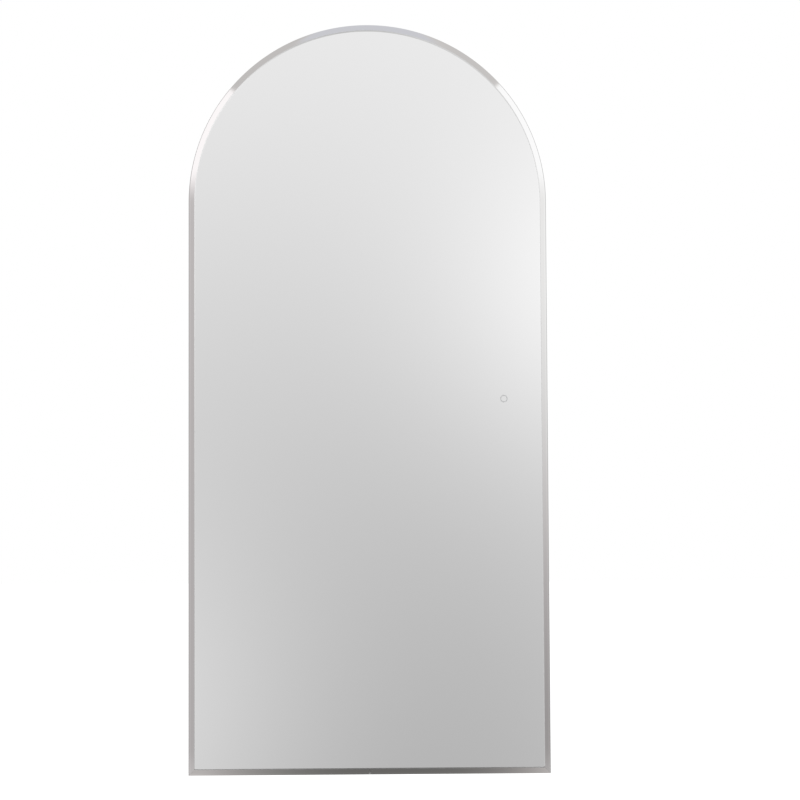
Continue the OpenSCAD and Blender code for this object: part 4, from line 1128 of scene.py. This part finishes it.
def scrim_light(f):
    """Light of the scrim by place: grey walls, two tall soft boxes, and a bright pool at the right."""
    x, y, z = f.axes()
    wide = abs(x)
    at_right = x.step(-0.5, 0.5)

    # Ahead, for the mirror
    ahead = 1.184 - 0.056 * z
    for level, pool_x, pool_z, half_w, half_h in POOLS:
        across, up = (x - pool_x) * (1 / half_w), (z - pool_z) * (1 / half_h)
        falloff = f.node("ShaderNodeMath", {"operation": "EXPONENT"}, {0: -1 * (across * across + up * up)})
        ahead = ahead + level * falloff

    # Beside, for the legs' faces
    left = 0.548 + 0.06 * z + 0.012 * z * z
    right = 0.37 + 0.575 * z.step(-1.5, 0.5)
    beside = left.towards(right, at_right) + 0.04 * wide.step(3.5, 3.8)
    beside = beside * (1 - 0.5 * y.step(-2.1, -1.0))
    away = wide.step(1.3, 2.7)

    # Above, for the top of the arch
    over = z - 0.83 * wide - 0.03 * x
    above = over.step(0.61, 0.69) * z.step(2.0, 2.2)
    ceiling = 0.69 - 0.08 * (-1 * x).step(1.0, 1.35) - 0.04 * x.step(1.0, 1.6)

    # Soft boxes, for the arch's shoulders
    box = wide.step(1.85, 2.1) * (1 - wide.step(3.7, 3.95)) * z.step(0.55, 1.25) * (1 - above)
    box = box * (1 - y.step(-1.6, -1.2))

    light = ahead.towards(beside, away).towards(ceiling, above).towards(1.14, box)
    warm = (1 - at_right * z.step(-1.1, 0.1)) * away
    tint = f.mix(warm, (0.998, 0.998, 0.996), (1.0, 0.957, 0.962))
    tint = f.mix(box * 0.75, tint, f.mix(at_right, (1.0, 0.975, 0.985), (0.985, 0.99, 1.0)))
    tint = f.mix(above, tint, f.mix(wide.step(0.95, 1.3), (0.975, 0.985, 1.05), (1.0, 0.975, 0.965)))
    colour = f.node("ShaderNodeVectorMath", {"operation": "SCALE"}, {0: tint, "Scale": light})
    return f.node("ShaderNodeEmission", {}, {"Color": colour, "Strength": 1.0})


def painted_shade_card(f):
    """A dimly glowing sheet, seen only in reflections, with painted shade for the bottom bar's face: darkest
    in the middle, paler towards its sides and its far edges.
    """
    x, y, _ = f.axes()
    wide, square = abs(x), x * x
    left = 1 - x.step(-0.08, 0.08)
    rise = square * (2.4 * left + (18.5 - 13.5 * left) * square)
    under = (0.153 + rise).least(0.52) * (1 + 0.2 * y.step(-0.75, -0.1))
    beyond = abs(y - 0.05).step(1.2, 2.0)
    tint = f.mix(wide.step(0.15, 0.35), (1.0, 0.978, 0.95), (1.0, 0.955, 0.945))
    tint = f.mix(wide.step(0.7, 1.3).most(beyond), tint, (1.0, 0.99, 0.985))
    return f.node("ShaderNodeEmission", {}, {"Color": tint, "Strength": under.towards(0.5, beyond)})


def floor_paper(f):
    """Pale paper that shines white to the camera and in reflections, and is plain grey to other light."""
    plain = f.node("ShaderNodeBsdfDiffuse", {}, {"Color": (0.75, 0.75, 0.75)})
    white = f.node("ShaderNodeAddShader", {}, {
        0: f.node("ShaderNodeBsdfDiffuse", {}, {"Color": (0.5, 0.5, 0.5)}),
        1: f.node("ShaderNodeEmission", {}, {"Color": (1, 1, 1), "Strength": 0.8})})
    return f.node("ShaderNodeMixShader", {}, {0: seen_rays(f), 1: plain, 2: white})


def cover_stage(piece, recipe):
    """Gives a piece of the stage a material that doesn't count as a lamp."""
    material = bpy.data.materials.new(recipe.__name__)
    material.use_nodes = True
    finish = Finish(material.node_tree)
    finish.node("ShaderNodeOutputMaterial", {}, {"Surface": recipe(finish)})
    material.cycles.emission_sampling = "NONE"
    piece.data.materials.append(material)


def seen_rays(f):
    """1 for camera, glossy and transmission rays, which show the white background."""
    path = f.node("ShaderNodeLightPath")
    outputs = path.socket.node.outputs
    seen = Value(f, outputs["Is Camera Ray"])
    for name in ("Is Glossy Ray", "Is Transmission Ray"):
        seen = seen.most(Value(f, outputs[name]))
    return seen


def only_in_reflections(piece):
    for ray in ("camera", "diffuse", "transmission", "volume_scatter", "shadow"):
        setattr(piece, "visible_" + ray, False)


def put_lamp(name, place, power, size, target):
    clear_selection()
    bpy.ops.object.light_add(type="AREA", location=place)
    lamp = bpy.context.object
    lamp.name = name
    lamp.data.energy, lamp.data.size = power, size
    lamp.rotation_euler = (Vector(target) - Vector(place)).to_track_quat("-Z", "Y").to_euler()
    lamp.visible_glossy = False


class MirrorLampStudio(bpy.types.Operator):
    """Set up floor, scrim, dark card, lamps, background and camera"""

    bl_idname = "mirror_lamp.studio"
    bl_label = "Studio"

    def execute(self, context):
        scene = context.scene
        studio = scene.mirror_studio
        self.put_camera(scene, studio)
        self.put_stage(studio)
        middle = (0, 0, (LOW.z + HIGH.z) / 2)
        put_lamp("key", (-2.2, -3.2, 1.4), studio.key_power, 2.6, middle)
        put_lamp("fill", (2.8, -2.2, 0.5), studio.fill_power, 2.2, middle)
        put_lamp("back_light", (1.8, 3.4, 1.3), studio.fill_power * 1.4, 2.4, middle)
        world = bpy.data.worlds.new("background")
        scene.world = world
        world.use_nodes = True
        f = Finish(world.node_tree)
        level = studio.room_level + (1 - studio.room_level) * seen_rays(f)
        sky = f.node("ShaderNodeBackground", {}, {"Color": (1, 1, 1), "Strength": level})
        f.node("ShaderNodeOutputWorld", {}, {"Surface": sky})
        scene.view_settings.view_transform = "Standard"
        return {"FINISHED"}

    def put_camera(self, scene, studio):
        yaw, pitch, roll = studio.camera_turn
        ahead = Vector((math.sin(yaw) * math.cos(pitch), math.cos(yaw) * math.cos(pitch), math.sin(pitch)))
        right = Vector((math.cos(yaw), -math.sin(yaw), 0))
        up = right.cross(ahead)
        side = math.cos(roll) * right + math.sin(roll) * up
        top = -math.sin(roll) * right + math.cos(roll) * up
        clear_selection()
        bpy.ops.object.camera_add()
        camera = bpy.context.object
        camera.data.sensor_width, camera.data.lens = 36, studio.lens
        turn = Matrix((side, top, -ahead)).transposed()
        camera.matrix_world = Matrix.Translation(studio.camera_place) @ turn.to_4x4()
        scene.camera = camera

    def put_stage(self, studio):
        clear_selection()
        bpy.ops.mesh.primitive_plane_add(size=40, location=(0, 0, studio.floor_height))
        floor = added("floor")
        cover_stage(floor, floor_paper)

        clear_selection()
        middle_z, open_y = -0.4, 2.8
        bpy.ops.mesh.primitive_uv_sphere_add(
            segments=96, ring_count=48, radius=studio.scrim_radius, location=(0, 0, middle_z))
        scrim = added("scrim")
        edit(scrim)
        bpy.ops.mesh.select_all(action="SELECT")
        bpy.ops.mesh.bisect(plane_co=(0, open_y, 0), plane_no=(0, 1, 0), clear_outer=True)
        bpy.ops.mesh.select_all(action="SELECT")
        bpy.ops.mesh.flip_normals()
        clear_selection()
        cover_stage(scrim, scrim_light)

        clear_selection()
        # A glowing sheet just above the floor with painted shade, which only reflections show
        above_floor = studio.floor_height + 0.02
        bpy.ops.mesh.primitive_plane_add(size=8, location=(0, 0, above_floor))
        card = added("dark_card")
        cover_stage(card, painted_shade_card)
        for piece in (scrim, card):
            only_in_reflections(piece)


class MirrorLampPanel(bpy.types.Panel):
    """Steps that build the lamp and its studio"""

    bl_idname = "VIEW3D_PT_mirror_lamp"
    bl_label = "Mirror lamp"
    bl_space_type = "VIEW_3D"
    bl_region_type = "UI"
    bl_category = "Mirror lamp"

    def draw(self, context):
        column = self.layout.column(align=True)
        for step in STEPS:
            column.operator(step.bl_idname)


STEPS = (MirrorLampStudio, MirrorLampFinishes, MirrorLampFrame, MirrorLampChannel, MirrorLampHousing,
         MirrorLampScrews, MirrorLampRails, MirrorLampRubber)
SETTINGS = {
    "mirror_trim": TrimSettings, "mirror_glass": GlassSettings, "mirror_housing": HousingSettings,
    "mirror_hanging": HangingSettings, "mirror_studio": StudioSettings,
}


def register():
    for item in (*SETTINGS.values(), *STEPS, MirrorLampPanel):
        bpy.utils.register_class(item)
    for name, group in SETTINGS.items():
        setattr(bpy.types.Scene, name, PointerProperty(type=group))


def unregister():
    for name in SETTINGS:
        delattr(bpy.types.Scene, name)
    for item in reversed((*SETTINGS.values(), *STEPS, MirrorLampPanel)):
        bpy.utils.unregister_class(item)


def main():
    register()
    for step in STEPS:
        group, name = step.bl_idname.split(".")
        getattr(getattr(bpy.ops, group), name)()


if __name__ == "__main__":
    main()
